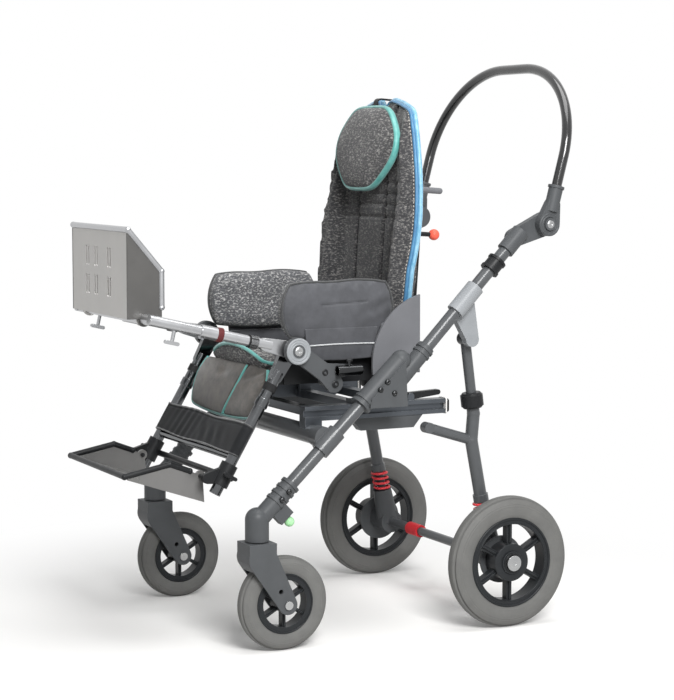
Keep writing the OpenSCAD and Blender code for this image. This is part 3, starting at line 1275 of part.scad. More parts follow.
// Footplate with cheeks, slots and hinge ears, and its rim tube
toe_y = loop_front_y + loop_d / 2;
toe_z = loop_front_z - loop_d / 2;
heel = [heel_y, heel_z];
toe = [toe_y, toe_z];
plate_u = (toe - heel) / norm(toe - heel);
plate_l = norm(toe - heel);
ear_r = 10;
slot_rows = 2;
slot_cols_shares = [-0.62, -0.38, 0.38, 0.62];
module slot(l, w) {
    translate([0, -(l - w) / 2]) square([w, l - w]);
    for (s = [-1, 1]) translate([w / 2, s * (l - w) / 2]) circle(r = w / 2);
}
loop_x = plate_half - plate_t / 2;
loop_start = foot + [-ear_r - foot_lug_r, ear_r];
module loop_rods() {
    a = [loop_front_y, loop_front_z];
    b = [loop_bend_y, loop_bend_z];
    pair() {
        rod(p3(loop_x, loop_start), p3(loop_x, b), loop_d / 2);
        rod(p3(loop_x, b), p3(loop_x, a), loop_d / 2);
    }
    xcyl(-loop_x, loop_x, a, loop_d / 2);
}
module foot_plate() color("gray") difference() {
    union() {
        translate(p3(0, heel)) rotate([-atan2(plate_u[1], -plate_u[0]), 0, 0])
            translate([-loop_x, -plate_l, 0]) cube([2 * loop_x, plate_l, plate_t]);
        pair() slab(plate_half - plate_t, plate_half) {
            polygon([heel + [2 * over, -over], toe - [0, over], [loop_front_y, loop_front_z], [loop_bend_y, loop_bend_z],
                loop_start, foot + [ear_r / 2, 0]]);
            translate(foot) circle(r = ear_r);
        }
    }
    foot_rim();
    pair() xcyl(plate_half - 2 * plate_t, plate_half + over, foot, foot_pin_d / 2 + run_gap);
    translate(p3(0, heel)) rotate([-atan2(plate_u[1], -plate_u[0]), 0, 0])
        for (c = slot_cols_shares, r = [1:slot_rows]) translate([c * plate_half, -plate_l * r / (slot_rows + 1), -over])
            linear_extrude(height = plate_t + 2 * over) slot(slot_l, slot_w);
}
module foot_rim() color("black") {
    loop_rods();
    pair() {
        ball(p3(loop_x, loop_start), loop_d / 2 + bead);
        ball(p3(loop_x, [loop_bend_y, loop_bend_z]), loop_d / 2 + bead);
        ball(p3(loop_x, [loop_front_y, loop_front_z]), loop_d / 2 + bead);
    }
}

// Front support: arms on the knee pin, a cross bar, a clear tray and an upright slotted plate
arm_u = [-cos(arm_angle), sin(arm_angle)];
arm_n = [sin(arm_angle), cos(arm_angle)];
function arm(s, n = 0) = knee + s * arm_u + n * arm_n;
arm_sleeve_s = [74, 150];
arm_sleeve_l = [16, 40];
module front_arms() color("gray") difference() {
    union() {
        pair() {
            slab(arm_x - arm_half, arm_x + arm_half) link(knee, arm(knuckle_l), knee_disc_d / 3, shin_end_r);
            rod(p3(arm_x, arm(knuckle_l - shin_end_r)), p3(arm_x, arm(arm_l)), arm_d / 2);
            for (i = [0, 1]) rod(p3(arm_x, arm(arm_sleeve_s[i])), p3(arm_x, arm(arm_sleeve_s[i] + arm_sleeve_l[i])), arm_d / 2 + ring_h);
            rod(p3(arm_x, arm(arm_bar_s, -arm_d / 2 - wing_l)), p3(arm_x, arm(arm_bar_s)), wing_d / 2);
            slab(arm_x - wing_d / 2, arm_x + wing_d / 2)
                link(arm(arm_bar_s - wing_l / 2, -arm_d / 2 - wing_l), arm(arm_bar_s + wing_l / 2, -arm_d / 2 - wing_l), wing_d / 2, wing_d / 2);
        }
        for (s = [arm_bar_s, arm_l - arm_d / 2]) xcyl(-arm_x, arm_x, arm(s), arm_d / 2);
    }
    pair() xcyl(arm_x - arm_half - over, arm_x + arm_half + over, knee, knee_pin_d / 2 + run_gap);
}
hook_d = 7;
hook_l = 14;
hook_x = 62;
ear_w = 18;
panel_back = panel_y + plate_t;
bar_a = arm(arm_l - arm_d / 2);
bar_b = arm(arm_bar_s);
slot_pair = 12;
panel_cols = [-72, -26, 44];
rim_y = panel_y + plate_t / 2;
rim_x = plate_half - plate_t / 2;
rim_top = [rim_y, panel_z + panel_h];
rim_mid = [panel_y + cheek_l, panel_z + cheek_h];
rim_low = [panel_y + cheek_l, panel_z + arm_d];
module panel_rim(past = 0) color("gray") {
    pair() {
        rod(p3(rim_x, rim_top), p3(rim_x, rim_mid), loop_d / 2);
        rod(p3(rim_x, rim_mid), p3(rim_x, rim_low), loop_d / 2);
    }
    xcyl(-rim_x - past, rim_x + past, rim_top, loop_d / 2);
    pair() for (p = [rim_top, rim_mid, rim_low]) ball(p3(rim_x, p), loop_d / 2 + bead);
}
module front_panel() color("lightgray") difference() {
    union() {
        translate([-plate_half, panel_y, panel_z]) cube([2 * plate_half, plate_t, panel_h]);
        pair() {
            slab(plate_half - plate_t, plate_half) polygon([[panel_y, panel_z], [panel_y + cheek_l, panel_z], rim_mid, rim_top, [panel_y, panel_z + panel_h]]);
            slab(plate_half - 2 * plate_t, plate_half - plate_t + over) {
                translate(bar_a) circle(r = arm_d / 2 + plate_t);
                translate([bar_a[0] - arm_d / 2 - plate_t / 2, bar_a[1]]) square([arm_d + plate_t, panel_z + ear_w - bar_a[1]]);
            }
        }
        for (x = [-hook_x, hook_x]) translate([x, panel_y + plate_t, panel_z + panel_h - loop_d - hook_l]) cylinder(h = hook_l, r = hook_d / 2);
    }
    panel_rim(plate_t);
    xcyl(-arm_x, arm_x, bar_a, arm_d / 2);
    for (c = panel_cols, r = [1, 2], k = [0, 1]) translate([c + k * slot_pair, panel_y - over, panel_z + panel_h * r / 3])
        rotate([-90, 0, 0]) linear_extrude(height = plate_t + 2 * over) slot(slot_l, slot_w);
}
tray_s = 96;
module clear_tray() color("lightblue") {
    slab(-arm_x + arm_d / 2 + ring_h, arm_x - arm_d / 2 - ring_h)
        polygon([arm(tray_s, -tray_t), arm(tray_s + tray_l, -tray_t), arm(tray_s + tray_l), arm(tray_s)]);
    pair() for (s = [tray_s + tray_t, tray_s + tray_l - tray_t])
        xcyl(arm_x - arm_d, arm_x - arm_d / 2 + tray_t, arm(s, -tray_t / 2), tray_t / 4);
}

place() lower_tubes();
place() upper_tubes();
place() frame_knuckles();
place() knuckle_sockets();
place() tube_collars();
place() front_cross_tube();
place() seat_base();
place() rail_skids();
place() rail_caps();
place() caster_heads();
place() frame_bolts();
place() handle_brackets();
place() leg_brackets();
place() fork_left();
place() fork_right();
place() fork_bolt_left();
place() fork_bolt_right();
place() front_tyre_left();
place() front_tyre_right();
place() front_rim_left();
place() front_rim_right();
place() caster_lock_left();
place() caster_lock_right();
place() fold_latches();
place() rear_legs();
place() leg_collars();
place() axle_housings();
place() axle_pins();
place() axle_bar();
place() spring_left();
place() spring_right();
place() brake_pedal();
place() rear_tyre_left();
place() rear_tyre_right();
place() rear_rim_left();
place() rear_rim_right();
place() handle_tube();
place() handle_sockets();
place() seat_pan();
place() seat_cushion();
place() hip_pad_left();
place() hip_pad_right();
place() side_plates();
place() knee_links();
place() accessory_sockets();
place() back_shell();
place() back_cushion();
place() back_knobs();
place() head_pad();
place() head_post();
place() leg_tubes();
place() seat_apron();
place() calf_band();
place() foot_clamps();
place() foot_plate();
place() foot_rim();
place() front_arms();
place() front_panel();
place() panel_rim();
place() clear_tray();
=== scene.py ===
# %% [markdown]
# # A child's support buggy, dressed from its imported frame
# The frame is a finished jointed model: every tube, wheel and plate stands at its real size.
# This lesson gives it what a solid modeller leaves out: stuffed cushions, piping, tread,
# smooth coils and finishes. Lengths below are in millimetres, measured from midway between
# the axles, and one function turns them into the frame's metres.

import math

import bpy
import numpy as np
from mathutils.bvhtree import BVHTree
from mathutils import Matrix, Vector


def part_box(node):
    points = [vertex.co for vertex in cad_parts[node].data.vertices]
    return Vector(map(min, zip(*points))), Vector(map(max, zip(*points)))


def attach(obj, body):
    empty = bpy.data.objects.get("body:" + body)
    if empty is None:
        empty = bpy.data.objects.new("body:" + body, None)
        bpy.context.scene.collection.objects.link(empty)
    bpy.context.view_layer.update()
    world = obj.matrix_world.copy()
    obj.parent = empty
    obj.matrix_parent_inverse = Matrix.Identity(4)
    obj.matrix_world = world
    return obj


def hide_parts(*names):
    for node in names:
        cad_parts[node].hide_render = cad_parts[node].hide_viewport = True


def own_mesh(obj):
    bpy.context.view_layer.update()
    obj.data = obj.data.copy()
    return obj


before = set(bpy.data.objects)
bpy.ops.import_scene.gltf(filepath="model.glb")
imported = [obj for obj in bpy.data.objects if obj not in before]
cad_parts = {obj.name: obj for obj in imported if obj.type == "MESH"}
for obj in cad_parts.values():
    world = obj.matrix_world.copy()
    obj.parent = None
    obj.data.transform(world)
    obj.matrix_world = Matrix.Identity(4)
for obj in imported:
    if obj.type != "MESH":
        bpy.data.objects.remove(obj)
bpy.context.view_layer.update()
tyre_low, tyre_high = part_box("rear_tyre_left")
Y_SHIFT = (tyre_low.y + tyre_high.y) / 2 - 0.234

# %% [markdown]
# ## Camera, floor and light
# The buggy was photographed from its left front, a little above the handle's middle, with a
# long lens. The camera could be aimed with a constraint, but fixed numbers keep it in place
# in every run. The floor is pale and fades to pure white away from the wheels, so no
# horizon shows, and two broad lamps with a bright world give the soft shadow of a studio.

# %% Camera
camera = bpy.data.objects.new("camera", bpy.data.cameras.new("camera"))
bpy.context.scene.collection.objects.link(camera)
camera.location = (3.5912, Y_SHIFT - 1.7836, 0.9114)
camera.rotation_euler = (math.radians(84.463), 0.0, math.radians(63.517))
camera.data.sensor_fit = "HORIZONTAL"
camera.data.sensor_width = 36.0
camera.data.lens = 108.51
bpy.context.scene.camera = camera
bpy.context.scene.view_settings.view_transform = "Standard"
print("camera", [round(c, 3) for c in camera.location])


# %% Colours and nodes
def linear(code):
    """An sRGB hex colour as linear light: c / 12.92 below 0.04045, else ((c + 0.055) / 1.055) ** 2.4."""
    c = np.array([int(code[k:k + 2], 16) for k in (1, 3, 5)]) / 255
    return (*np.where(c <= 0.04045, c / 12.92, ((c + 0.055) / 1.055) ** 2.4), 1.0)


def add(tree, kind, sockets=None, **settings):
    """Adds one shader node: settings are its own options, sockets its inputs, each a value or a link."""
    node = tree.nodes.new("ShaderNode" + kind)
    for key, value in settings.items():
        setattr(node, key, value)
    for key, value in (sockets or {}).items():
        if isinstance(value, bpy.types.NodeSocket):
            tree.links.new(value, node.inputs[key])
        else:
            node.inputs[key].default_value = value
    return node


def seen(tree):
    """1 for rays from the camera, from gloss or through clear plastic, and 0 for light on the object."""
    rays = add(tree, "LightPath").outputs
    some = add(tree, "Math", {0: rays["Is Camera Ray"], 1: rays["Is Glossy Ray"]}, operation="MAXIMUM")
    every = add(tree, "Math", {0: some.outputs[0], 1: rays["Is Transmission Ray"]}, operation="MAXIMUM")
    return every.outputs[0]


print("mid grey in linear light", round(float(linear("#808080")[0]), 3))

# %% World and lamps
world = bpy.data.worlds.new("studio")
bpy.context.scene.world = world
world.use_nodes = True
air = world.node_tree
air.nodes.clear()
level = add(air, "MapRange", {"Value": seen(air), "To Min": 0.12, "To Max": 1.0})
sky = add(air, "Background", {"Color": linear("#ffffff"), "Strength": level.outputs[0]})
add(air, "OutputWorld", {"Surface": sky.outputs[0]})

for title, spot, aim, size, watts in (
    ("softbox_over", (0.4, 0.3, 3.2), (0.0, 0.0, 0.3), 2.0, 62.0),
    ("softbox_side", (3.1, -0.6, 2.4), (0.0, 0.0, 0.55), 1.4, 172.0),
):
    lamp = bpy.data.objects.new(title, bpy.data.lights.new(title, "AREA"))
    lamp.data.size = size
    lamp.data.energy = watts
    lamp.location = spot
    way = np.array(aim) - np.array(spot)
    turn = math.atan2(way[0], -way[1]) + math.pi
    lamp.rotation_euler = (math.atan2(np.hypot(way[0], way[1]), -way[2]), 0.0, turn)
    bpy.context.scene.collection.objects.link(lamp)
    print(title, watts, "W")

# %% Floor
floor_mesh = bpy.data.meshes.new("floor")
floor_mesh.from_pydata([(-9, -9, 0), (9, -9, 0), (9, 9, 0), (-9, 9, 0)], [], [(0, 1, 2, 3)])
floor = bpy.data.objects.new("floor", floor_mesh)
bpy.context.scene.collection.objects.link(floor)
paper = bpy.data.materials.new("pale studio paper")
paper.use_nodes = True
tree = paper.node_tree
tree.nodes.clear()
matt = add(tree, "BsdfDiffuse", {"Color": linear("#f6f5f3")})
glow = add(tree, "Emission", {"Color": linear("#ffffff"), "Strength": 1.0})
away = add(tree, "VectorMath", {0: add(tree, "TexCoord").outputs["Object"]}, operation="LENGTH")
fade = add(tree, "MapRange", {"Value": away.outputs["Value"], "From Min": 0.25, "From Max": 1.15,
                              "To Min": 0.10}, interpolation_type="SMOOTHSTEP")
share = add(tree, "Math", {0: fade.outputs[0], 1: seen(tree)}, operation="MULTIPLY")
both = add(tree, "MixShader", {0: share.outputs[0], 1: matt.outputs[0], 2: glow.outputs[0]})
add(tree, "OutputMaterial", {"Surface": both.outputs[0]})
floor_mesh.materials.append(paper)
print("floor", floor.name)

# %% [markdown]
# ## Rigid finishes
# The buggy's hard parts are powder coated tube, moulded nylon, chrome, lacquered sheet and
# clear acrylic. Photographs of each could be wrapped round the parts, but a finish made of
# noise at a real grain size holds on any shape. Every hard finish has the same four things:
# two close colours in soft clouds, a fine grain in the bump, a roughness that follows the
# clouds, and edges that are rounded and rubbed lighter, as handling leaves them.


# %% One recipe for hard finishes
DULL = 0.16  # Specular level of dull finishes: less than bare plastic, as the real room was darker than white
EDGE_M = 0.0009  # Width of a rubbed corner
RUB_SHARE = 0.35  # How far a rubbed corner takes the colour of the bare stuff below


def new_finish(name, **sockets):
    """A new material, its tree and its Principled shader, with constants on the shader's own sockets."""
    finish = bpy.data.materials.new(name)
    finish.use_nodes = True
    shader = finish.node_tree.nodes["Principled BSDF"]
    for key, value in sockets.items():
        shader.inputs[key.replace("_", " ")].default_value = value
    return finish, finish.node_tree, shader


def hard(name, dark, light, rough, grain_mm, bump, rub, patch_mm=45, **sockets):
    """Clouds of patch_mm mix two colours, grain_mm noise is the bump, and corners are rubbed lighter."""
    finish, tree, shader = new_finish(name, Specular_IOR_Level=DULL, **sockets)
    where = add(tree, "TexCoord").outputs["Object"]
    clouds = add(tree, "TexNoise", {"Vector": where, "Scale": 1000 / patch_mm, "Detail": 4.0,
                                    "Roughness": 0.6})
    grain = add(tree, "TexNoise", {"Vector": where, "Scale": 1000 / grain_mm, "Detail": 1.0})
    soft = add(tree, "Bevel", {"Radius": EDGE_M}, samples=4)
    flat = add(tree, "NewGeometry").outputs["Normal"]
    meet = add(tree, "VectorMath", {0: soft.outputs[0], 1: flat}, operation="DOT_PRODUCT")
    worn = add(tree, "MapRange", {"Value": meet.outputs["Value"], "From Min": 0.985, "From Max": 0.82,
                                  "To Max": RUB_SHARE})
    tint = add(tree, "Mix", {0: clouds.outputs[0], 6: linear(dark), 7: linear(light)}, data_type="RGBA")
    last = add(tree, "Mix", {0: worn.outputs[0], 6: tint.outputs[2], 7: linear(rub)}, data_type="RGBA")
    gloss = add(tree, "MapRange", {"Value": clouds.outputs[0], "From Min": 0.3, "From Max": 0.7,
                                   "To Min": rough * 0.85, "To Max": rough * 1.15})
    bumps = add(tree, "Bump", {"Strength": bump, "Distance": 0.0005, "Height": grain.outputs[0],
                               "Normal": soft.outputs[0]})
    tree.links.new(last.outputs[2], shader.inputs["Base Color"])
    tree.links.new(gloss.outputs[0], shader.inputs["Roughness"])
    tree.links.new(bumps.outputs[0], shader.inputs["Normal"])
    return finish


print("rubbed corners are", EDGE_M * 1000, "mm wide")

# %% Mix the hard finishes
# Powder coat shows a fine orange peel of about 0.6 mm, drawn at 1.4 mm so that it shows.
powder_coat = hard("anthracite powder coat", "#434547", "#515355", 0.33, 1.4, 0.08, rub="#84878a",
                   Coat_Weight=0.3, Coat_Roughness=0.16)
# Glass filled nylon from a spark eroded mould is matt, with a 0.5 mm grain drawn at 1.2 mm.
grey_nylon = hard("moulded charcoal nylon", "#424446", "#4f5153", 0.44, 1.2, 0.16, rub="#77797b")
black_nylon = hard("moulded black nylon", "#17181a", "#232425", 0.38, 1.2, 0.14, rub="#555657")
# Gloss black lacquer over steel: a dark base under a clear coat that mirrors the room in thin streaks.
gloss_black = hard("gloss black lacquer on steel", "#121213", "#1d1d1e", 0.30, 2.0, 0.02, rub="#4b4b4c",
                   Coat_Weight=1.0, Coat_Roughness=0.10)
# Black chrome mirrors the room in dark tones, with hardly any grain.
black_chrome = hard("black chrome on steel", "#3a3b3c", "#474849", 0.20, 2.0, 0.01, rub="#8d8d8d",
                    Metallic=1.0)
# Satin chrome is greyer than a mirror, with faint cloudy wipe marks in its gloss.
bright_chrome = hard("satin chrome on steel", "#a6a7a9", "#bbbcbe", 0.30, 2.0, 0.01, rub="#f0f0f0",
                     Metallic=1.0)
# Dark anodised aluminium of the seat rails: metallic, cool and evenly brushed.
anodised = hard("dark anodised aluminium", "#4b4f54", "#5a5e63", 0.34, 0.9, 0.06, rub="#a9adb1", Metallic=0.7)
# A paler silver grey coat on the cast brackets above the rear legs.
silver_coat = hard("silver grey powder coat", "#7d8083", "#8f9295", 0.36, 1.4, 0.10, rub="#a9abad")
# The leg tubes are polished, so they take bright and dark streaks from the room.
tube_chrome = hard("polished chrome tube", "#58595b", "#6a6c6e", 0.14, 2.0, 0.01, rub="#d6d6d6", Metallic=1.0)
turned_steel = hard("turned zinc steel", "#9fa0a1", "#b9baba", 0.26, 0.8, 0.05, rub="#ededed", Metallic=1.0)
# Foamed polyurethane tyres are dull mid grey, dustier in patches.
tyre_foam = hard("foamed polyurethane tyre", "#5a5a59", "#6c6c6a", 0.60, 1.6, 0.20, rub="#7d7b77",
                 patch_mm=30)
rim_abs = hard("moulded dark ABS rim", "#1e2022", "#2a2c2e", 0.34, 1.2, 0.08, rub="#6a6c6e")
# Lacquered aluminium sheet is satin and shows the sheet's rolled clouds; the footplate's is darker.
grey_sheet = hard("lacquered aluminium sheet", "#b0afad", "#c9c7c4", 0.32, 1.5, 0.05, rub="#d8d7d5",
                  patch_mm=80, Metallic=0.35)
dark_sheet = hard("charcoal lacquered sheet", "#666665", "#797877", 0.30, 1.5, 0.05, rub="#8b8a88",
                  patch_mm=80, Metallic=0.35)
shell_grey = hard("moulded grey ABS shell", "#616265", "#6e6f73", 0.46, 1.3, 0.14, rub="#8c8e90")
white_abs = hard("moulded white ABS", "#c9c8c6", "#dad9d7", 0.36, 1.2, 0.06, rub="#f4f4f4")
green_resin = hard("pale green ball resin", "#8cc48e", "#a9d8a8", 0.28, 2.0, 0.02, rub="#d4f0d2")
red_lacquer = hard("red enamel on spring wire", "#c8323a", "#dd4a50", 0.26, 2.0, 0.02, rub="#e4636a")
red_nylon = hard("moulded red nylon", "#bb1f29", "#cf343a", 0.40, 1.2, 0.10, rub="#e0747a")
coral_resin = hard("coral ball resin", "#d9503f", "#e66a57", 0.28, 2.0, 0.02, rub="#f2a294")
maroon_rubber = hard("maroon rubber ferrule", "#4c2022", "#5c2a2b", 0.52, 1.2, 0.10, rub="#7d4c4c")
print("hard finishes", len(bpy.data.materials) - 1)

# Painted shade: the panel's folded sides lie in their own shade, so past 144 mm from the middle the tint is
# scaled down to paint them darker.
tree = grey_sheet.node_tree
apart = add(tree, "SeparateXYZ", {0: add(tree, "TexCoord").outputs["Object"]})
wide = add(tree, "Math", {0: apart.outputs[0]}, operation="ABSOLUTE")
# Mask of the painted shade: 1 on the panel's face, 0.19 on its folded sides.
fold = add(tree, "MapRange", {"Value": wide.outputs[0], "From Min": 0.1435, "From Max": 0.1465,
                              "To Min": 1.0, "To Max": 0.19})
paint = tree.nodes["Principled BSDF"].inputs["Base Color"]
panel_tint_with_painted_shade = add(tree, "VectorMath", {0: paint.links[0].from_socket, "Scale": fold.outputs[0]}, operation="SCALE")
tree.links.new(panel_tint_with_painted_shade.outputs[0], paint)

# %% Clear acrylic
# Cast acrylic bends light like thin glass, with a faint cool tint and fine wipe marks in its gloss.
acrylic, tree, shader = new_finish("clear cast acrylic", Transmission_Weight=1.0, IOR=1.49)
where = add(tree, "TexCoord").outputs["Object"]
haze = add(tree, "TexNoise", {"Vector": where, "Scale": 1000 / 25, "Detail": 4.0})  # Marks of 25 mm
tint = add(tree, "Mix", {0: haze.outputs[0], 6: linear("#e6eef1"), 7: linear("#f6fafb")}, data_type="RGBA")
wipe = add(tree, "MapRange", {"Value": haze.outputs[0], "To Min": 0.02, "To Max": 0.09})
tree.links.new(tint.outputs[2], shader.inputs["Base Color"])
tree.links.new(wipe.outputs[0], shader.inputs["Roughness"])
print("finish", acrylic.name)

# %% Dress the solid nodes
dress = {
    powder_coat: ["lower_tubes", "upper_tubes", "front_cross_tube", "rear_legs", "axle_bar"],
    grey_nylon: ["frame_knuckles", "knuckle_sockets", "caster_heads", "fork_left", "fork_right",
                 "axle_housings", "handle_brackets", "handle_sockets", "rail_skids", "knee_links"],
    anodised: ["seat_base"],
    silver_coat: ["leg_brackets"],
    black_nylon: ["tube_collars", "fold_latches", "leg_collars", "back_shell", "foot_clamps", "foot_rim",
                  "frame_bolts", "seat_pan", "head_post"],
    gloss_black: ["handle_tube"],
    black_chrome: ["accessory_sockets"],
    tube_chrome: ["leg_tubes"],
    bright_chrome: ["front_arms", "panel_rim"],
    turned_steel: ["fork_bolt_left", "fork_bolt_right", "axle_pins"],
    tyre_foam: ["front_tyre_left", "front_tyre_right", "rear_tyre_left", "rear_tyre_right"],
    rim_abs: ["front_rim_left", "front_rim_right", "rear_rim_left", "rear_rim_right"],
    grey_sheet: ["front_panel"],
    dark_sheet: ["foot_plate"],
    shell_grey: ["side_plates"],
    white_abs: ["rail_caps"],
    green_resin: ["caster_lock_left", "caster_lock_right"],
    red_lacquer: ["spring_left", "spring_right"],
    red_nylon: ["brake_pedal"],
    coral_resin: ["back_knobs"],
    acrylic: ["clear_tray"],
}
for finish, names in dress.items():
    for node_name in names:
        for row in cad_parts[node_name].material_slots:
            row.material = finish
print("dressed nodes", sum(len(names) for names in dress.values()))

# %% [markdown]
# ## Soft finishes
# Four cloths cover the seat: a dark melange weave with pale flecks, black nylon on the outer
# sides, brown grey suede on the apron, and shiny sewn piping. A woven picture would need flat
# unwrapped pieces; patterns on the object's own coordinates cross every seam without it.


# %% Melange weave
def wave_scale(step_mm):
    """A wave texture's band repeats every 2 pi / 20 of its scaled coordinate, here every step_mm."""
    return 2 * math.pi / 20 / (step_mm / 1000)


def melange(name, dark, light, fleck_mm, thread_mm):
    """Pale flecks along the weft are stretched noise cut at a level; two crossed waves are the threads."""
    finish, tree, shader = new_finish(name, Roughness=0.92, Specular_IOR_Level=DULL, Sheen_Weight=0.25,
                                      Sheen_Roughness=0.5)
    where = add(tree, "TexCoord").outputs["Object"]
    drawn = add(tree, "Mapping", {"Vector": where, "Scale": (0.4, 0.5, 1.0)})
    fleck = add(tree, "TexNoise", {"Vector": drawn.outputs[0], "Scale": 1000 / fleck_mm, "Detail": 3.0,
                                   "Roughness": 0.7})
    shade = add(tree, "TexNoise", {"Vector": where, "Scale": 1000 / 28, "Detail": 2.0})
    pale = add(tree, "MapRange", {"Value": fleck.outputs[0], "From Min": 0.50, "From Max": 0.74})
    depth = add(tree, "MapRange", {"Value": shade.outputs[0], "From Min": 0.3, "From Max": 0.7,
                                   "To Min": 0.82, "To Max": 1.1})
    yarn = add(tree, "Mix", {0: pale.outputs[0], 6: linear(dark), 7: linear(light)}, data_type="RGBA")
    tone = add(tree, "VectorMath", {0: yarn.outputs[2], "Scale": depth.outputs[0]}, operation="SCALE")
    tight = wave_scale(thread_mm)
    weft = add(tree, "VectorMath", {0: where, 1: (0.0, 1.0, 1.0)}, operation="DOT_PRODUCT")
    line = add(tree, "CombineXYZ", {0: weft.outputs["Value"]})
    over = add(tree, "TexWave", {"Vector": where, "Scale": tight, "Distortion": 1.5, "Detail": 1.0})
    under = add(tree, "TexWave", {"Vector": line.outputs[0], "Scale": tight, "Distortion": 1.5,
                                  "Detail": 1.0})
    cross = add(tree, "Math", {0: over.outputs["Fac"], 1: under.outputs["Fac"]}, operation="ADD")
    nap = add(tree, "Math", {0: fleck.outputs[0], 1: 1.5, 2: cross.outputs[0]}, operation="MULTIPLY_ADD")
    bumps = add(tree, "Bump", {"Strength": 0.35, "Distance": 0.0012, "Height": nap.outputs[0]})
    tree.links.new(tone.outputs[0], shader.inputs["Base Color"])
    tree.links.new(bumps.outputs[0], shader.inputs["Normal"])
    return finish


# The yarn is about 0.7 mm thick; flecks are drawn at 3 mm and threads at 2.4 mm so that they show. The back's
# copy is darkened with painted shade, as the back lies in shade, and the hip pads' copy is lightened with
# painted light.
tweed = melange("grey melange upholstery weave", "#3d3d3f", "#b4b2ae", 3.0, 2.4)
back_tweed_painted_shade = melange("melange weave with painted shade", "#343436", "#8f8d8a", 3.0, 2.4)
hip_tweed_painted_light = melange("melange weave with painted light", "#505154", "#cfcecb", 3.0, 2.4)
print("weaves", tweed.name, "/", back_tweed_painted_shade.name, "/", hip_tweed_painted_light.name)


# %% Plain cloths
def cloth(name, dark, light, patch_mm, nap_mm, bump, **sockets):
    """Clouds of patch_mm mix two shades, and noise of nap_mm is the nap or weave in the bump."""
    finish, tree, shader = new_finish(name, Specular_IOR_Level=DULL, **sockets)
    where = add(tree, "TexCoord").outputs["Object"]
    clouds = add(tree, "TexNoise", {"Vector": where, "Scale": 1000 / patch_mm, "Detail": 5.0,
                                    "Roughness": 0.65})
    nap = add(tree, "TexNoise", {"Vector": where, "Scale": 1000 / nap_mm, "Detail": 2.0})
    level = add(tree, "MapRange", {"Value": clouds.outputs[0], "From Min": 0.32, "From Max": 0.68})
    tint = add(tree, "Mix", {0: level.outputs[0], 6: linear(dark), 7: linear(light)}, data_type="RGBA")
    bumps = add(tree, "Bump", {"Strength": bump, "Distance": 0.001, "Height": nap.outputs[0]})
    tree.links.new(tint.outputs[2], shader.inputs["Base Color"])
    tree.links.new(bumps.outputs[0], shader.inputs["Normal"])
    return finish


# Tight nylon taffeta: near black, with the soft shine of flat filaments. Its 0.3 mm weave is drawn
# at 1.5 mm.
taffeta = cloth("black nylon taffeta", "#3f4043", "#515256", 60, 1.5, 0.12, Roughness=0.46, Sheen_Weight=0.2)
# Brushed suede: strokes of the hand leave paler and darker patches a few centimetres wide.
suede = cloth("brown grey brushed suede", "#2c2925", "#534c45", 22, 2.2, 0.30, Roughness=0.95,
              Sheen_Weight=0.35)
# Stretch nylon of the calf band: darker and duller than the taffeta.
stretch = cloth("black stretch nylon", "#151618", "#1f2022", 40, 1.5, 0.16, Roughness=0.74, Sheen_Weight=0.05)
# Webbing for straps: coarse, dull black.
webbing = cloth("black polyester webbing", "#1b1b1c", "#2a2a2b", 12, 1.6, 0.40, Roughness=0.78)
print("cloths", taffeta.name, "/", suede.name, "/", stretch.name, "/", webbing.name)


# %% Piping cloth
def piped(name, dark, light, rib_mm, rough):
    """Satin bias tape over a cord: fine ribs across its run, read from the piece's own map in metres."""
    finish, tree, shader = new_finish(name, Roughness=rough, Sheen_Weight=0.3)
    run = add(tree, "UVMap", uv_map="run")
    ribs = add(tree, "TexWave", {"Vector": run.outputs[0], "Scale": wave_scale(rib_mm), "Distortion": 0.6})
    patch_mm = 50 / 3  # Three paler patches in 50 mm
    clouds = add(tree, "TexNoise", {"Vector": run.outputs[0], "Scale": 1000 / patch_mm, "Detail": 3.0})
    level = add(tree, "MapRange", {"Value": clouds.outputs[0], "From Min": 0.3, "From Max": 0.7})
    tint = add(tree, "Mix", {0: level.outputs[0], 6: linear(dark), 7: linear(light)}, data_type="RGBA")
    bumps = add(tree, "Bump", {"Strength": 0.2, "Distance": 0.0006, "Height": ribs.outputs["Fac"]})
    tree.links.new(tint.outputs[2], shader.inputs["Base Color"])
    tree.links.new(bumps.outputs[0], shader.inputs["Normal"])
    return finish


# The tape's ribs are about 0.5 mm apart and drawn at 2 mm.
teal_tape = piped("teal satin piping", "#3c8a84", "#62a59f", 2.0, 0.42)
blue_tape = piped("blue satin piping", "#538fae", "#86b2ca", 2.0, 0.34)
navy_tape = piped("deep blue satin tape", "#2a5f86", "#3b789f", 2.0, 0.40)
dark_tape = piped("black satin piping", "#1e1f20", "#303132", 2.0, 0.45)
silver_tape = piped("silver reflective piping", "#a4a6a8", "#c2c4c5", 2.0, 0.30)
thread = piped("pale sewing thread", "#8f8c86", "#bdb9b1", 1.0, 0.60)
print("finishes", len(bpy.data.materials))

# %% [markdown]
# ## From points to pieces
# Each new piece is a sheet of points worked out as one array, and a table of faces that
# joins neighbours on the grid. Blender's own primitives could be pushed about instead, but
# a formula says plainly what the shape is. Two makers do nearly all the work: one carries an
# outline along a path, as piping and tube are made, and one turns an outline round an axis.


# %% Mesh maker
def place(points):
    """Millimetres from midway between the axles become metres: divide by 1000 and shift along y."""
    return np.asarray(points, float) / 1000.0 + np.array([0.0, Y_SHIFT, 0.0])


def quads(nu, nv, wrap_u=False, wrap_v=False):
    """Faces of a grid with nu by nv points: corner (i, j) joins (i+1, j), (i+1, j+1) and (i, j+1)."""
    i = np.arange(nu if wrap_u else nu - 1)[:, None]
    j = np.arange(nv if wrap_v else nv - 1)[None, :]
    k = (i + 1) % nu
    m = (j + 1) % nv
    corners = np.broadcast_arrays(i * nv + j, k * nv + j, k * nv + m, i * nv + m)
    return np.stack(corners, axis=-1).reshape(-1, 4)


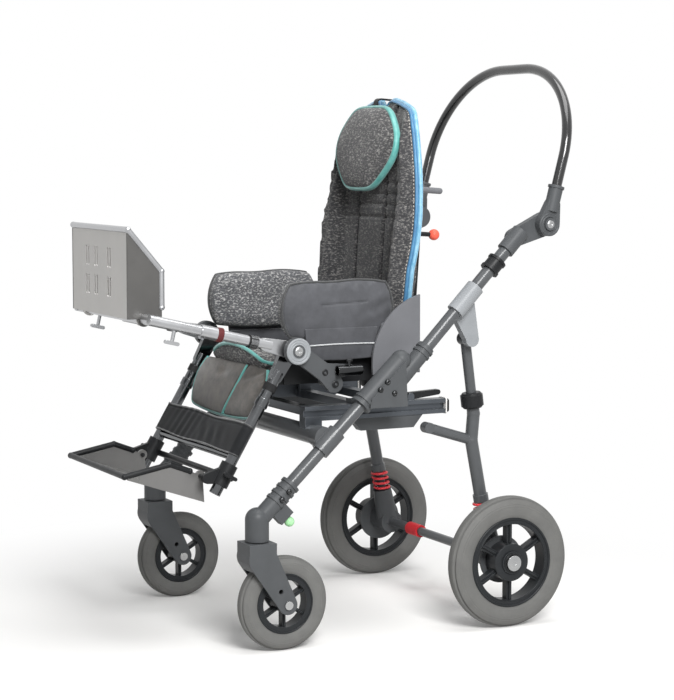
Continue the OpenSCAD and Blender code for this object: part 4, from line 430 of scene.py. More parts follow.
def inside_out(verts, faces):
    """True where the signed volume, the sum of a . (b x c) over triangles about the middle, is negative."""
    a, b, c, d = (verts[faces[:, k]] - verts.mean(axis=0) for k in range(4))
    return np.sum(a * np.cross(b, c)) + np.sum(a * np.cross(c, d)) < 0


def mirrored(points, sign):
    """The points themselves where sign is 1, and their mirror image across x = 0 where it is -1."""
    return np.asarray(points, float) * (sign, 1.0, 1.0)


def make(name, verts, faces, finish, body, caps=(), uv=None, solid=True):
    """Points and faces become one smooth mesh that rides on a body; a solid one is turned right side out."""
    faces = np.asarray(faces)
    caps = [list(cap) for cap in caps]
    if solid and inside_out(verts, faces):
        faces = faces[:, ::-1]
        caps = [cap[::-1] for cap in caps]
        uv = None if uv is None else uv[:, ::-1]
    mesh = bpy.data.meshes.new(name)
    mesh.from_pydata(place(verts).tolist(), [], faces.tolist() + caps)
    if uv is not None:
        run = np.zeros((len(mesh.loops), 2))
        run[:faces.size] = uv.reshape(-1, 2) / 1000.0
        mesh.uv_layers.new(name="run").data.foreach_set("uv", run.ravel())
    mesh.shade_smooth()
    mesh.set_sharp_from_angle(angle=math.radians(42))
    mesh.materials.append(finish)
    piece = bpy.data.objects.new(name, mesh)
    bpy.context.scene.collection.objects.link(piece)
    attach(piece, body)
    return piece


print("a grid of 3 by 4 points has", len(quads(3, 4)), "faces")


# %% Carry an outline along a path
def ring(radius, count, squash=1.0):
    """A round outline of count points, flattened by squash along its second axis."""
    t = np.arange(count) * 2 * math.pi / count
    return np.stack([radius * np.cos(t), radius * squash * np.sin(t)], axis=-1)


def run_along(name, path, outline, finish, body, up=(0.0, 0.0, 1.0), closed=False):
    """With t the path's direction, s = t x up and w = s x t, each ring is path + p0 s + p1 w."""
    path = np.asarray(path, float)
    t = np.roll(path, -1, 0) - np.roll(path, 1, 0) if closed else np.gradient(path, axis=0)
    t /= np.linalg.norm(t, axis=1, keepdims=True)
    s = np.cross(t, np.asarray(up, float))
    s /= np.linalg.norm(s, axis=1, keepdims=True)
    w = np.cross(s, t)
    n = len(path)
    m = outline.shape[-2]
    rings = path[:, None] + outline[..., :1] * s[:, None] + outline[..., 1:] * w[:, None]
    steps = np.linalg.norm(np.diff(path, axis=0, append=path[:1]), axis=1)
    far = np.concatenate([[0.0], np.cumsum(steps)])
    faces = quads(n, m, wrap_u=closed, wrap_v=True)
    i = np.arange(n if closed else n - 1)[:, None]
    j = np.arange(m)[None, :]
    square = ((0, 0), (1, 0), (1, 1), (0, 1))
    corners = [np.stack(np.broadcast_arrays(far[i + p], 2.0 * (j + q)), axis=-1) for p, q in square]
    uv = np.stack(corners, axis=2).reshape(-1, 4, 2)
    caps = () if closed else (range(m), range(n * m - 1, (n - 1) * m - 1, -1))
    return make(name, rings.reshape(-1, 3), faces, finish, body, caps, uv)


print("a 20 mm tube's outline is", np.ptp(ring(10.0, 28)[:, 0]), "mm wide")


# %% Turn an outline round an axis
def turned(name, outline, centres, axis, finish, body, count=48):
    """Each outline point (r, h) becomes centre + r (cos t e1 + sin t e2) + h axis, at every centre."""
    axis = np.asarray(axis, float) / np.linalg.norm(axis)
    e1 = np.cross(axis, (0.0, 0.6, 0.8))
    e1 /= np.linalg.norm(e1)
    e2 = np.cross(axis, e1)
    t = np.arange(count) * 2 * math.pi / count
    round_it = np.cos(t)[:, None] * e1 + np.sin(t)[:, None] * e2
    outline = np.asarray(outline, float)
    one = outline[None, :, :1] * round_it[:, None] + outline[None, :, 1:] * axis
    centres = np.atleast_2d(np.asarray(centres, float))
    verts = (centres[:, None] + one.reshape(1, -1, 3)).reshape(-1, 3)
    face = quads(count, len(outline), wrap_u=True, wrap_v=True)
    faces = (np.arange(len(centres))[:, None, None] * len(outline) * count + face).reshape(-1, 4)
    return make(name, verts, faces, finish, body)


print("makers ready")

# %% [markdown]
# ## Tyres
# The tyres are solid foam with two tread grooves and a full, round sidewall. A torus would be
# too round, so the section is a superellipse, pinched where it grips the rim, with the
# grooves cut as steep dips and three low moulding rings on each sidewall.


# %% Tyre section and wheels
def tyre_section(outer, seat, half, groove_mm, depth_mm):
    """q = sin(t)^0.77 climbs from rim to tread, the side is half cos(t)^0.77 pinched by 0.26 (1 - q)^3."""
    t = np.linspace(0.0, math.pi, 150)
    q = np.sin(t) ** 0.77
    side = half * np.sign(np.cos(t)) * np.abs(np.cos(t)) ** 0.77 * (1 - 0.26 * (1 - q) ** 3)
    rings = np.exp(-((q[:, None] - np.array([0.16, 0.56, 0.66])) / 0.018) ** 2).sum(axis=1)
    dips = np.exp(-((np.abs(side) - 0.52 * half) / (groove_mm / 2)) ** 4) * (q > 0.8)
    radius = seat + (outer - seat) * q - depth_mm * dips
    return np.stack([radius, side + 0.5 * np.sign(side) * rings], axis=-1)


SIDES = (("left", 1), ("right", -1))
WHEELS = {"front": (254.0, -234.0, 88.0), "rear": (278.0, 234.0, 127.5)}
treads = (("front", tyre_section(88.0, 56.0, 18.5, 3.0, 5.0), 120),
          ("rear", tyre_section(127.5, 86.5, 22.0, 3.4, 6.0), 144))
for hand, sign in SIDES:
    for end, section, count in treads:
        tread = turned(f"tread_{end}_{hand}", section, mirrored(WHEELS[end], sign), (1, 0, 0), tyre_foam,
                       f"{end}_wheel_{hand}", count)
        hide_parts(f"{end}_tyre_{hand}")
print("tyres", 2 * len(treads))

# %% [markdown]
# ## Rims and hubs
# The moulded rims have a rolled flange where the tyre sits, a rib down the middle of every
# spoke, and a dished hub face round the axle head. The solid rim stays, and these details
# are laid on it: beads are turned, and the ribs are one wedge copied round by an array.


# %% Flanges, ribs and hub faces
def bead(radius, height, size):
    """A small round bead: a circle of points at a radius and height."""
    return ring(size, 10) + np.array([radius, height])


def spoke_ribs(name, centre, inner, outer, half, top, body):
    """A rib's section narrows from half to 0.55 half at its top; six copies turn round by 60 degrees."""
    r = np.linspace(inner, outer, 7)
    rise = top * (1 - 0.35 * np.linspace(-1, 1, 7) ** 2)
    wide = np.array([-1.0, -0.55, 0.55, 1.0]) * half
    tall = np.array([0.0, 1.0, 1.0, 0.0])
    across, along = np.broadcast_arrays(wide[None, :], r[:, None])
    high = rise[:, None] * tall[None, :]
    turn = np.arange(6) * math.pi / 3
    spots = []
    for side in (1, -1):
        x = np.broadcast_to(side * (8.0 + high), (6, 7, 4))
        y = along[None] * np.cos(turn)[:, None, None] - across[None] * np.sin(turn)[:, None, None]
        z = along[None] * np.sin(turn)[:, None, None] + across[None] * np.cos(turn)[:, None, None]
        spots.append(np.stack([x, -z, y] if side > 0 else [x, z, y], axis=-1).reshape(-1, 3))
    verts = np.concatenate(spots) + np.asarray(centre, float)
    face = quads(7, 4, wrap_v=True)
    faces = (np.arange(12)[:, None, None] * 28 + face).reshape(-1, 4)
    return make(name, verts, faces, rim_abs, body)


rear_face = [(19.5, 17.2), (22.0, 18.2), (33.0, 18.6), (35.6, 17.6), (36.2, 15.0), (20.0, 15.0)]
front_face = [(9.0, 17.2), (11.0, 18.0), (15.0, 18.2), (16.6, 17.2), (17.0, 15.0), (9.5, 15.0)]
rim_parts = (("rear", "flange", bead(84.6, 16.4, 2.4), 96),
             ("rear", "lip", bead(75.6, 15.4, 1.6), 96),
             ("rear", "hub_face", rear_face, 64),
             ("front", "flange", bead(54.6, 13.8, 1.8), 72),
             ("front", "hub_face", front_face, 48))
rib_sizes = (("rear", 36.0, 75.0, 2.0, 4.5), ("front", 17.0, 45.0, 1.6, 3.0))
for hand, sign in SIDES:
    for side, word in ((1, "out"), (-1, "in")):
        for end, part, section, count in rim_parts:
            turned(f"{end}_{part}_{word}_{hand}", section, mirrored(WHEELS[end], sign), (side * sign, 0, 0),
                   rim_abs, f"{end}_wheel_{hand}", count)
    for end, *sizes in rib_sizes:
        spoke_ribs(f"{end}_ribs_{hand}", mirrored(WHEELS[end], sign), *sizes, f"{end}_wheel_{hand}")
print("rim details placed")

# %% [markdown]
# ## Axle heads and bolts
# Button head bolts hold the knuckles and caster sleeves, a bright domed nut closes each
# rear axle, and the seat rails end in a thin white rim and a black plug. A cylinder would read
# as a peg; a turned section with a round crown and a sunk drive catches a ring of light, as the
# real heads do.


# %% Domed heads
def dome(radius, height, drive):
    """A head's section: flat seat, round crown from rim to drive, and a drive sunk to 0.45 of the height."""
    t = np.linspace(0.0, 1.0, 9)
    crown = np.stack([radius - (radius - drive) * t, height * np.sqrt(1 - (1 - t) ** 2)], axis=-1)
    sunk = np.array([(drive * 0.96, height * 0.45), (0.02, height * 0.45), (0.02, -0.6), (radius, -0.6)])
    return np.concatenate([crown, sunk])


def side_line(s, n=0.0):
    """A point on the lower tube's line: from the swivel, s along 43.7 degrees and n across it."""
    a = math.radians(43.7)
    return np.array([-284.0 + s * math.cos(a) - n * math.sin(a), 242.0 + s * math.sin(a) + n * math.cos(a)])


seats = np.array([(276.0, *side_line(336)), (276.0, *side_line(356)), (273.0, *side_line(58)),
                  (273.0, *side_line(78)), (276.0, -12.0, 466.0)])
washer = [(15.2, 0.0), (18.6, 0.0), (18.6, 1.2), (18.0, 1.6), (15.8, 1.6), (15.2, 1.2)]
AXLE = WHEELS["rear"][1:]
for hand, sign in SIDES:
    way = (sign, 0, 0)
    heads = turned("button_bolts_" + hand, dome(5.5, 4.0, 2.2), mirrored(seats, sign), way, black_chrome,
                   "chassis", 28)
    if sign > 0:
        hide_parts("frame_bolts")
    turned("axle_dome_" + hand, dome(14.6, 3.0, 3.4), (sign * 303.2, *AXLE), way, turned_steel,
           "rear_axle", 48)
    turned("axle_washer_" + hand, washer, (sign * 299.4, *AXLE), way, black_nylon,
           "rear_axle", 48)
print("bolt heads", 2 * len(seats))

# %% Rail ends
def soft_box(wide, tall, radius, count=6):
    """A rectangle with round corners: a quarter circle of points at each corner."""
    t = np.radians(np.linspace(0.0, 90.0, count))
    quarter = radius * np.column_stack([np.cos(t), np.sin(t)]) + (wide / 2 - radius, tall / 2 - radius)
    return np.concatenate([quarter, quarter[::-1] * (-1, 1), -quarter, quarter[::-1] * (1, -1)])


def rail_line(sign, y):
    """Points along a seat rail's middle line, at the given places from front to back."""
    return np.column_stack([np.full(len(y), sign * 186.5), y, np.full(len(y), 426.0)])


end_y = (143.0, 147.0, 148.4, 149.4, 149.9)
end_share = np.array([1.0, 1.0, 0.97, 0.91, 0.82])
plug = soft_box(24.0, 27.0, 5.0) * end_share[:, None, None]
for hand, sign in SIDES:
    rim = run_along("rail_rim_" + hand, rail_line(sign, (140.6, 143.4)), soft_box(28.0, 31.0, 4.0),
                    white_abs, "chassis")
    run_along("rail_end_" + hand, rail_line(sign, end_y), plug, black_nylon, "chassis")
    if sign > 0:
        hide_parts("rail_caps")
print("rail ends placed")

# %% [markdown]
# ## Handle and springs
# The push handle is one bent tube, and each spring one wound wire, so both are a round
# outline carried along a path. The path of a spring is a helix whose pitch eases off at the
# ends, where the last turn is ground flat to sit square on its cup.

# %% Push handle
hinge = np.array([327.0, 775.0])
lean = math.radians(75.0)
up_line = np.array([math.cos(lean), math.sin(lean)])
bend = np.linspace(0.0, math.pi / 2, 25)
leg_s = np.concatenate([np.linspace(38.0, 132.0, 12), 133.0 + 184.0 * np.sin(bend)])
leg_x = np.concatenate([np.full(12, 264.0), 44.0 + 220.0 * np.cos(bend)])
half_path = np.column_stack([leg_x, hinge[0] + leg_s * up_line[0], hinge[1] + leg_s * up_line[1]])
other_half = mirrored(half_path, -1)
top_bar = np.linspace(half_path[-1], other_half[-1], 9)[1:-1]
handle_path = np.concatenate([half_path, top_bar, other_half[::-1]])
arch_normal = (0.0, -up_line[1], up_line[0])
handle = run_along("push_handle", handle_path, ring(10.0, 28), gloss_black, "handle",
                   arch_normal)
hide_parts("handle_tube")
handle_mm = np.linalg.norm(np.diff(handle_path, axis=0), axis=1).sum()
print("handle length", round(float(handle_mm)), "mm")

# %% Suspension springs
slide = np.array([0.0, -0.1916, 0.9815])
turns = np.linspace(0.0, 4.0, 129)
eased = np.clip((turns - 0.35) / 3.3, 0.0, 1.0)
coil_rise = 36.0 * (0.12 * turns / 4.0 + 0.88 * eased)
e1 = np.array([1.0, 0.0, 0.0])
e2 = np.cross(slide, e1)
foot_s = (237.0 - 127.5) / slide[2] - 39.5  # From the axle up to the lower cup
base = np.array([0.0, *AXLE]) + foot_s * slide
around = 2 * math.pi * turns[:, None]
wire = base + 16.0 * (np.cos(around) * e1 + np.sin(around) * e2) + coil_rise[:, None] * slide
for hand, sign in SIDES:
    coil = mirrored(wire + (215.0, 0.0, 0.0), sign)
    spring = run_along("coil_" + hand, coil, ring(2.5, 12), red_lacquer, "rear_frame", slide)
    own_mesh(spring)
    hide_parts("spring_" + hand)
print("coil rise", round(float(coil_rise[-1]), 1), "mm")

# %% [markdown]
# ## Stuffed pieces
# The cushions are cloth bags filled with foam. A smooth form alone looks like moulded
# plastic, so each bag starts a little slim, is cut into even cells, and is blown up as cloth
# for twenty frames. The piped edges and the face that rests on a board are held, because
# tape and board don't give. Seams are pressed in afterwards, since the cells are too
# coarse to keep them.


# %% Blow up a bag
def even_mesh(piece):
    """The points, in millimetres, and the four cornered faces of a piece with its modifiers."""
    shown = piece.evaluated_get(bpy.context.evaluated_depsgraph_get())
    mesh = shown.to_mesh()
    verts = np.empty(len(mesh.vertices) * 3)
    mesh.vertices.foreach_get("co", verts)
    corners = np.empty(len(mesh.loops), np.int32)
    mesh.loops.foreach_get("vertex_index", corners)
    shown.to_mesh_clear()
    return verts.reshape(-1, 3) * 1000.0, corners.reshape(-1, 4)


def bag_object(name, verts, faces):
    """A plain mesh object, in metres, for a step of the stuffing."""
    mesh = bpy.data.meshes.new(name)
    mesh.from_pydata((verts / 1000.0).tolist(), [], faces.tolist())
    piece = bpy.data.objects.new(name, mesh)
    bpy.context.scene.collection.objects.link(piece)
    return piece


def stuffed(name, point_at, nu, nv, held, cell_mm, cap_mm, pressure=4.0):
    """A bag in even cells, twenty frames of cloth under pressure with the held points fixed, no point moved
    past cap_mm, then one subdivision."""
    verts, faces = two_sided(point_at, nu, nv)
    if inside_out(verts, faces):
        faces = faces[:, ::-1]
    bag = bag_object(name + "_bag", verts, faces)
    cells = bag.modifiers.new("cells", "REMESH")
    cells.mode = "VOXEL"
    cells.voxel_size = cell_mm / 1000.0
    verts, faces = even_mesh(bag)
    bpy.data.objects.remove(bag)
    bag = bag_object(name + "_cloth", verts, faces)
    group = bag.vertex_groups.new(name="held")
    fixed = held(verts)
    group.add(np.flatnonzero(fixed >= 0.99).tolist(), 1.0, "REPLACE")
    group.add(np.flatnonzero((fixed > 0.3) & (fixed < 0.99)).tolist(), 0.5, "REPLACE")
    blown = bag.modifiers.new("stuffing", "CLOTH")
    blown.settings.quality = 4
    blown.settings.mass = 0.25
    blown.settings.tension_stiffness = 12.0
    blown.settings.compression_stiffness = 12.0
    blown.settings.bending_stiffness = 0.6
    blown.settings.use_pressure = True
    blown.settings.uniform_pressure_force = pressure
    blown.settings.vertex_group_mass = "held"
    blown.settings.effector_weights.gravity = 0.0
    blown.collision_settings.use_collision = False
    for step in range(1, 21):
        bpy.context.scene.frame_set(step)
    moved, _ = even_mesh(bag)
    bag.modifiers.clear()
    bpy.context.scene.frame_set(1)
    shift = moved - verts
    far = np.linalg.norm(shift, axis=1, keepdims=True)
    verts = verts + shift * np.minimum(1.0, cap_mm / np.maximum(far, 1e-6))
    print(name, "moved", round(float(far.mean()), 2), "mm on average, most", round(float(far.max()), 2))
    bag.data.vertices.foreach_set("co", (verts / 1000.0).ravel())
    finer = bag.modifiers.new("finer", "SUBSURF")
    finer.levels = finer.render_levels = 1
    verts, faces = even_mesh(bag)
    bpy.data.objects.remove(bag)
    return verts, faces


# %% Seams and edges of a bag
def near(verts, path, reach):
    """1 within reach of a line of points, falling to 0 at twice the reach."""
    gap = np.min(np.linalg.norm(verts[:, None] - path[None], axis=2), axis=1)
    return np.clip(2.0 - gap / reach, 0.0, 1.0)


def pressed(verts, faces, depth):
    """Each point sinks by its own depth against its normal, the sum of the normals of the faces round it."""
    a, b, c, d = (verts[faces[:, k]] for k in range(4))
    flat = np.cross(c - a, d - b)
    normal = np.zeros_like(verts)
    for k in range(4):
        np.add.at(normal, faces[:, k], flat)
    normal /= np.maximum(np.linalg.norm(normal, axis=1, keepdims=True), 1e-9)
    return verts - normal * depth[:, None]


def two_sided(point_at, nu, nv):
    """A bag from one formula: a front grid, a back grid, and a wall of faces that joins their rims."""
    a, b = np.meshgrid(np.linspace(-1, 1, nu), np.linspace(-1, 1, nv), indexing="ij")
    verts = np.concatenate([point_at(a, b, 1.0).reshape(-1, 3), point_at(a, b, 0.0).reshape(-1, 3)])
    index = np.arange(nu * nv).reshape(nu, nv)
    rim = np.concatenate([index[:-1, 0], index[-1, :-1], index[:0:-1, -1], index[0, :0:-1]])
    other = np.roll(rim, -1)
    front = quads(nu, nv)
    wall = np.stack([other, rim, rim + nu * nv, other + nu * nv], axis=-1)
    return verts, np.concatenate([front, front[:, ::-1] + nu * nv, wall])


def pulled(a, b, q):
    """Square shares (a, b) with corners drawn in: each is scaled by sqrt(1 - q other^2 / 2)."""
    return a * np.sqrt(1 - q * b * b / 2), b * np.sqrt(1 - q * a * a / 2)


def swell(a, b):
    """The crown of a cushion: sqrt((1 - a^4)(1 - b^4)), 0 on the rim and 1 in the middle."""
    return np.sqrt(np.clip((1 - a ** 4) * (1 - b ** 4), 0, 1))


def laid_on(verts, faces, points, lift):
    """Drops a line of points to the nearest place on a finished skin, and lifts it along the normal there."""
    skin = BVHTree.FromPolygons(verts.tolist(), faces.tolist())
    hits = [skin.find_nearest(p) for p in np.asarray(points, float).tolist()]
    return np.array([hit[0] for hit in hits]) + lift * np.array([hit[1] for hit in hits])


def even_line(points, count, closed=False):
    """A line drawn again with count points at equal steps along its length."""
    points = np.asarray(points, float)
    points = np.concatenate([points, points[:1]]) if closed else points
    far = np.concatenate([[0.0], np.cumsum(np.linalg.norm(np.diff(points, axis=0), axis=1))])
    want = np.linspace(0.0, far[-1], count, endpoint=not closed)
    return np.column_stack([np.interp(want, far, points[:, k]) for k in range(3)])


def calmed(points, passes):
    """Takes kinks out of a line: each inner point moves halfway to its neighbours' middle, passes times."""
    points = np.array(points, float)
    for _ in range(passes):
        points[1:-1] = 0.5 * points[1:-1] + 0.25 * (points[:-2] + points[2:])
    return points


def three_edges(point_at, start, side_count, front_count, share):
    """Down a bag's left edge from b = start, along b = -1 and up the right edge, at a share of its depth."""
    b = np.linspace(start, -1.0, side_count)
    a = np.linspace(1.0, -1.0, front_count)[1:]
    down = point_at(np.ones(side_count), b, share)
    along = point_at(a, -np.ones(front_count - 1), share)
    return np.concatenate([down, along, point_at(-np.ones(side_count - 1), b[::-1][1:], share)])


def once_round(point_at, share):
    """A bag's outline, once round its four edges, at a share of its depth."""
    c = np.linspace(-1.0, 1.0, 41)
    low = point_at(c, -np.ones(41), share)
    right = point_at(np.ones(40), c[1:], share)
    high = point_at(c[::-1][1:], np.ones(40), share)
    return np.concatenate([low, right, high, point_at(-np.ones(39), c[::-1][1:-1], share)])


print("stuffing", "on")

# %% [markdown]
# ## Stitches
# A row of pale thread shows beside the back's piping. Each stitch is a tiny bead of a few
# faces, long along the seam; one array copies it down the line.


# %% Stitch maker
def stitches(name, path, normal, finish, body, pitch=7.0, long_mm=4.4, thick=0.9):
    """Copies of a six sided bead, sin(t) thick and long_mm long, at even steps of pitch along a path."""
    path = np.asarray(path, float)
    total = np.linalg.norm(np.diff(path, axis=0), axis=1).sum()
    count = max(2, int(total / pitch))
    spots = even_line(path, count)
    t = np.gradient(spots, axis=0)
    t /= np.linalg.norm(t, axis=1, keepdims=True)
    s = np.cross(t, normal)
    s /= np.linalg.norm(s, axis=1, keepdims=True)
    w = np.cross(s, t)
    share = np.linspace(0.0, 1.0, 5)
    round_it = ring(thick, 6)
    fat = 0.35 + 0.65 * np.sin(math.pi * share)
    along = (share - 0.5) * long_mm
    skin = round_it[:, :1] * s[:, None, None] + round_it[:, 1:] * w[:, None, None]
    local = along[:, None, None] * t[:, None, None] + fat[:, None, None] * skin
    verts = (spots[:, None, None] + local).reshape(-1, 3)
    face = quads(5, 6, wrap_v=True)
    faces = (np.arange(count)[:, None, None] * 30 + face).reshape(-1, 4)
    ends = np.arange(count)[:, None] * 30
    caps = (ends + np.arange(6)).tolist() + (ends + 24 + np.arange(6)[::-1]).tolist()
    uv = np.zeros((len(faces), 4, 2))
    return make(name, verts, faces, finish, body, caps, uv)


print("stitch maker ready")

# %% [markdown]
# ## Seat cushion
# A foam cushion lies in the moulded pan and rises to an arched nose over its front lip. Two
# sewn channels cross it, its sides draw in between the corners, and teal piping follows its edge.

# %% Seat cushion
def seat_at(a, b, top):
    """Across: pulled share times a half width that draws in at the middle. The top has a crown of 14 and
    arches up by 24 at the front; the underside rises by 26 under the nose, where the apron starts."""
    f, g = pulled(a, b, 0.35)
    ahead = np.clip(-b, 0.0, 1.0)
    x = f * (138.5 - 6.0 * (1 - b * b))
    y = -102.0 + g * (136.0 - 18.0 * ahead)
    low = 489.0 + 26.0 * ahead ** 6
    high = 521.0 + 24.0 * ahead ** 2 * (1 - a * a) + 14.0 * swell(a, b) - 5.0 * a ** 4
    return np.stack([x, y, low + top * (high - low)], axis=-1)


seat_rim = three_edges(seat_at, 0.9, 40, 41, 1.0)
seat_verts, seat_faces = stuffed("seat", seat_at, 61, 61,
                                 lambda v: np.maximum(near(v, seat_rim[::2], 4.0), v[:, 2] < 490.5), 5.0, 6.0)
cross_b = (seat_verts[:, 1] + 102.0) / 136.0
on_top = np.clip((seat_verts[:, 2] - 500.0) / 14.0, 0.0, 1.0)
seam_depth = sum(np.exp(-((cross_b - b0) * 136.0 / 4.2) ** 2) for b0 in (-0.35, 0.3))
seat_verts = pressed(seat_verts, seat_faces, 6.5 * seam_depth * on_top)
seat = make("seat_cushion_cover", seat_verts, seat_faces, tweed, "seat")
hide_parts("seat_cushion")
seat_pipe = calmed(laid_on(seat_verts, seat_faces, even_line(seat_rim, 130), 1.0), 14)
run_along("seat_piping", seat_pipe, ring(3.6, 12), teal_tape, "seat", (0.05, 0.1, 1.0))
print("seat faces", len(seat_faces))

# %% [markdown]
# ## Seat apron
# A suede flap covers the seat's front from under its nose down to the calves. It is thin and
# quilted, with one long slanting seam and teal piping on its three free edges.

# %% Seat apron
def apron_at(a, b, front):
    """Down the lip, with v from 0 at the top: z falls by 104, and y leans back above the lip, follows its
    slope below it and kicks out by 8 v^2."""
    f, g = pulled(a, b, 0.5)
    v = (1 - g) / 2
    z = 514.0 - 104.0 * v
    y = -218.5 - 0.2727 * np.maximum(0.0, 478.0 - z) + 0.4 * np.maximum(0.0, z - 478.0) - 8.0 * v * v
    thick = 13.0 * (0.4 + 0.6 * swell(a, b))
    return np.stack([f * 164.0, y - front * thick, z], axis=-1)


apron_rim = three_edges(apron_at, 0.96, 24, 60, 0.6)
apron_verts, apron_faces = stuffed("apron", apron_at, 81, 25, lambda v: near(v, apron_rim[::2], 4.0),
                                   3.5, 3.0, 3.0)
ax, ay, az = apron_verts.T
skin_y = -224.0 - 0.30 * np.maximum(0.0, 478.0 - az) + 0.4 * np.maximum(0.0, az - 478.0)
front_share = np.clip((skin_y - ay) / 4.0, 0.0, 1.0)
seam_x = ax - 24.0 - 46.0 * (az - 410.0) / 104.0
dent = np.exp(-((ax + 30.0) / 26.0) ** 2 - ((az - 490.0) / 9.0) ** 2)
apron_depth = front_share * (3.2 * np.exp(-(seam_x / 3.4) ** 2) + 4.0 * dent)
apron_verts = pressed(apron_verts, apron_faces, apron_depth)
apron = make("apron_cover", apron_verts, apron_faces, suede, "seat")
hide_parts("seat_apron")
apron_pipe = calmed(even_line(apron_rim, 150), 10)
run_along("apron_piping", apron_pipe, ring(3.4, 12), teal_tape, "seat", (0.0, 1.0, 0.2))
seam_b = np.linspace(0.93, -0.97, 30)
apron_seam = calmed(laid_on(apron_verts, apron_faces, apron_at(0.295 + 0.14 * seam_b, seam_b, 1.2), 0.8), 20)
run_along("apron_seam_piping", apron_seam, ring(2.4, 10), teal_tape, "seat", (0.0, 1.0, 0.2))
print("apron faces", len(apron_faces))

# %% [markdown]
# ## Back cushion
# The tall back is one flat bag with side wings, a notch at the top for the head bracket, two long
# channels that make a middle panel, and four short seams across the shoulders. It leans back four
# degrees, so its formula works in its own lines: x across, n to the front, h up from the recline axis.

# %% Back cushion
BACK_TILT = math.radians(4.0)
BACK_COS = math.cos(BACK_TILT)
BACK_SIN = math.sin(BACK_TILT)
BACK_N = -17.3  # The shell's front face


def back_place(x, n, h):
    """From the back's own lines to the frame: y = 72 + h sin - n cos, z = 522 + h cos + n sin."""
    return np.stack([x, 72.0 + h * BACK_SIN - n * BACK_COS, 522.0 + h * BACK_COS + n * BACK_SIN], axis=-1)


def back_lines(verts):
    """The way back from the frame to the back's own x, n and h."""
    y = verts[:, 1] - 72.0
    z = verts[:, 2] - 522.0
    return verts[:, 0], z * BACK_SIN - y * BACK_COS, y * BACK_SIN + z * BACK_COS


def back_half(h):
    """Half the width: 160, flaring by 10 to the bottom and narrowing by 44 t^1.6 above 0.55 of the height."""
    t = np.maximum(0.0, (h / 498.0 - 0.55) / 0.45)
    return 160.0 + 10.0 * np.maximum(0.0, 1.0 - h / 274.0) ** 2 - 44.0 * t ** 1.6


def back_height(a, b):
    """Up the back: 269 + 227 g, with a notch 34 deep in the middle of the top edge for the head bracket."""
    _, g = pulled(a, b, 0.4)
    notch = 34.0 * np.exp(-((a / 0.13) ** 2)) * np.clip((b - 0.8) / 0.2, 0.0, 1.0) ** 2
    return 269.0 + g * 227.0 - notch


def back_cushion_at(a, b, front):
    """Thickness is a crowned 22 plus a wing of 53 past |a| = 0.64, lower beside the head, gone at the top."""
    f, _ = pulled(a, b, 0.4)
    h = back_height(a, b)
    lower = 0.72 + 0.28 * np.minimum(1.0, 3.0 * np.maximum(0.0, 1.0 - h / 312.0))
    wing = np.maximum(0.0, (np.abs(a) - 0.64) / 0.36) ** 1.5 * lower * (1 - np.maximum(0.0, b) ** 6)
    thick = 22.0 * (0.45 + 0.55 * swell(a, b)) + 53.0 * wing
    return back_place(f * back_half(h), BACK_N + front * thick, h)


def back_edge(a, b, forward):
    """A line round the bag's outer wall, a given distance in front of the shell."""
    f, _ = pulled(a, b, 0.4)
    h = back_height(a, b)
    return back_place(f * back_half(h), BACK_N + forward, h)


def up_and_over(point, ease):
    """Up the left side from the bottom, over the top and down the right; it comes forward by ease below."""
    b = np.linspace(-0.98, 1.0, 80)
    a = np.linspace(1.0, -1.0, 122)[1:]
    low = ease * np.clip((0.0 - b) / 0.5, 0.0, 1.0) ** 2
    up = point(np.ones(80), b, low)
    over = point(a, np.ones(121), 0.0)
    return np.concatenate([up, over, point(-np.ones(79), b[::-1][1:], low[::-1][1:])])


back_rim = up_and_over(lambda a, b, low: back_cushion_at(a, b, 1.0), 0.0)[::2]
back_verts, back_faces = stuffed(
    "back", back_cushion_at, 91, 91,
    lambda v: np.maximum(near(v, back_rim, 5.0), back_lines(v)[1] < BACK_N + 1.5), 5.5, 6.0)
bx, bn, bh = back_lines(back_verts)
facing = np.clip((bn - BACK_N - 5.0) / 8.0, 0.0, 1.0)
long_seam = np.exp(-((np.abs(bx) - 56.0) / 4.4) ** 2)
cross_seam = sum(np.exp(-((bh - h0) / 3.4) ** 2) for h0 in (264.0, 289.0, 310.0, 332.0))
at_wing = np.clip((np.abs(bx) - 96.0) / 40.0, 0.0, 1.0)
back_depth = facing * (6.0 * long_seam + 3.6 * cross_seam * (1 - 0.7 * at_wing))
back_verts = pressed(back_verts, back_faces, back_depth)
# The back wears the copy of the weave darkened with painted shade.
back = make("back_cushion_cover", back_verts, back_faces, back_tweed_painted_shade, "backrest")
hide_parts("back_cushion")
print("back faces", len(back_faces))

# %% [markdown]
# ## Back piping
# A fat blue cord is sewn where the back's wall meets its shell, with a flat tape in front of
# it and a row of pale stitches in front of that. All three are lines laid on the finished
# skin. Below the shoulders they swing forward, as the wall gets deeper there.

# %% Back piping
def back_line(forward, lift):
    """A line over the back's wall, forward of the shell: evenly stepped, laid on the skin and calmed."""
    drawn = up_and_over(lambda a, b, low: back_edge(a, b, forward + low), 9.0)
    return calmed(laid_on(back_verts, back_faces, even_line(drawn, 320), lift), 6)


BACK_UP = (0.0, -1.0, 0.07)
run_along("back_piping", back_line(5.0, 2.2), ring(4.8, 14), blue_tape, "backrest", BACK_UP)
run_along("back_tape", back_line(12.0, 0.9), ring(3.4, 12, 1.3), navy_tape, "backrest",
          BACK_UP)
stitches("back_stitches", back_line(19.0, 0.5), BACK_UP, thread, "backrest")
print("back piping placed")

# %% [markdown]
# ## Knobs behind the back
# A coral ball on a black stem releases the back, and a grey peg above it takes a harness
# strap. Both stick straight out of the shell, so each is an outline turned round its own line.

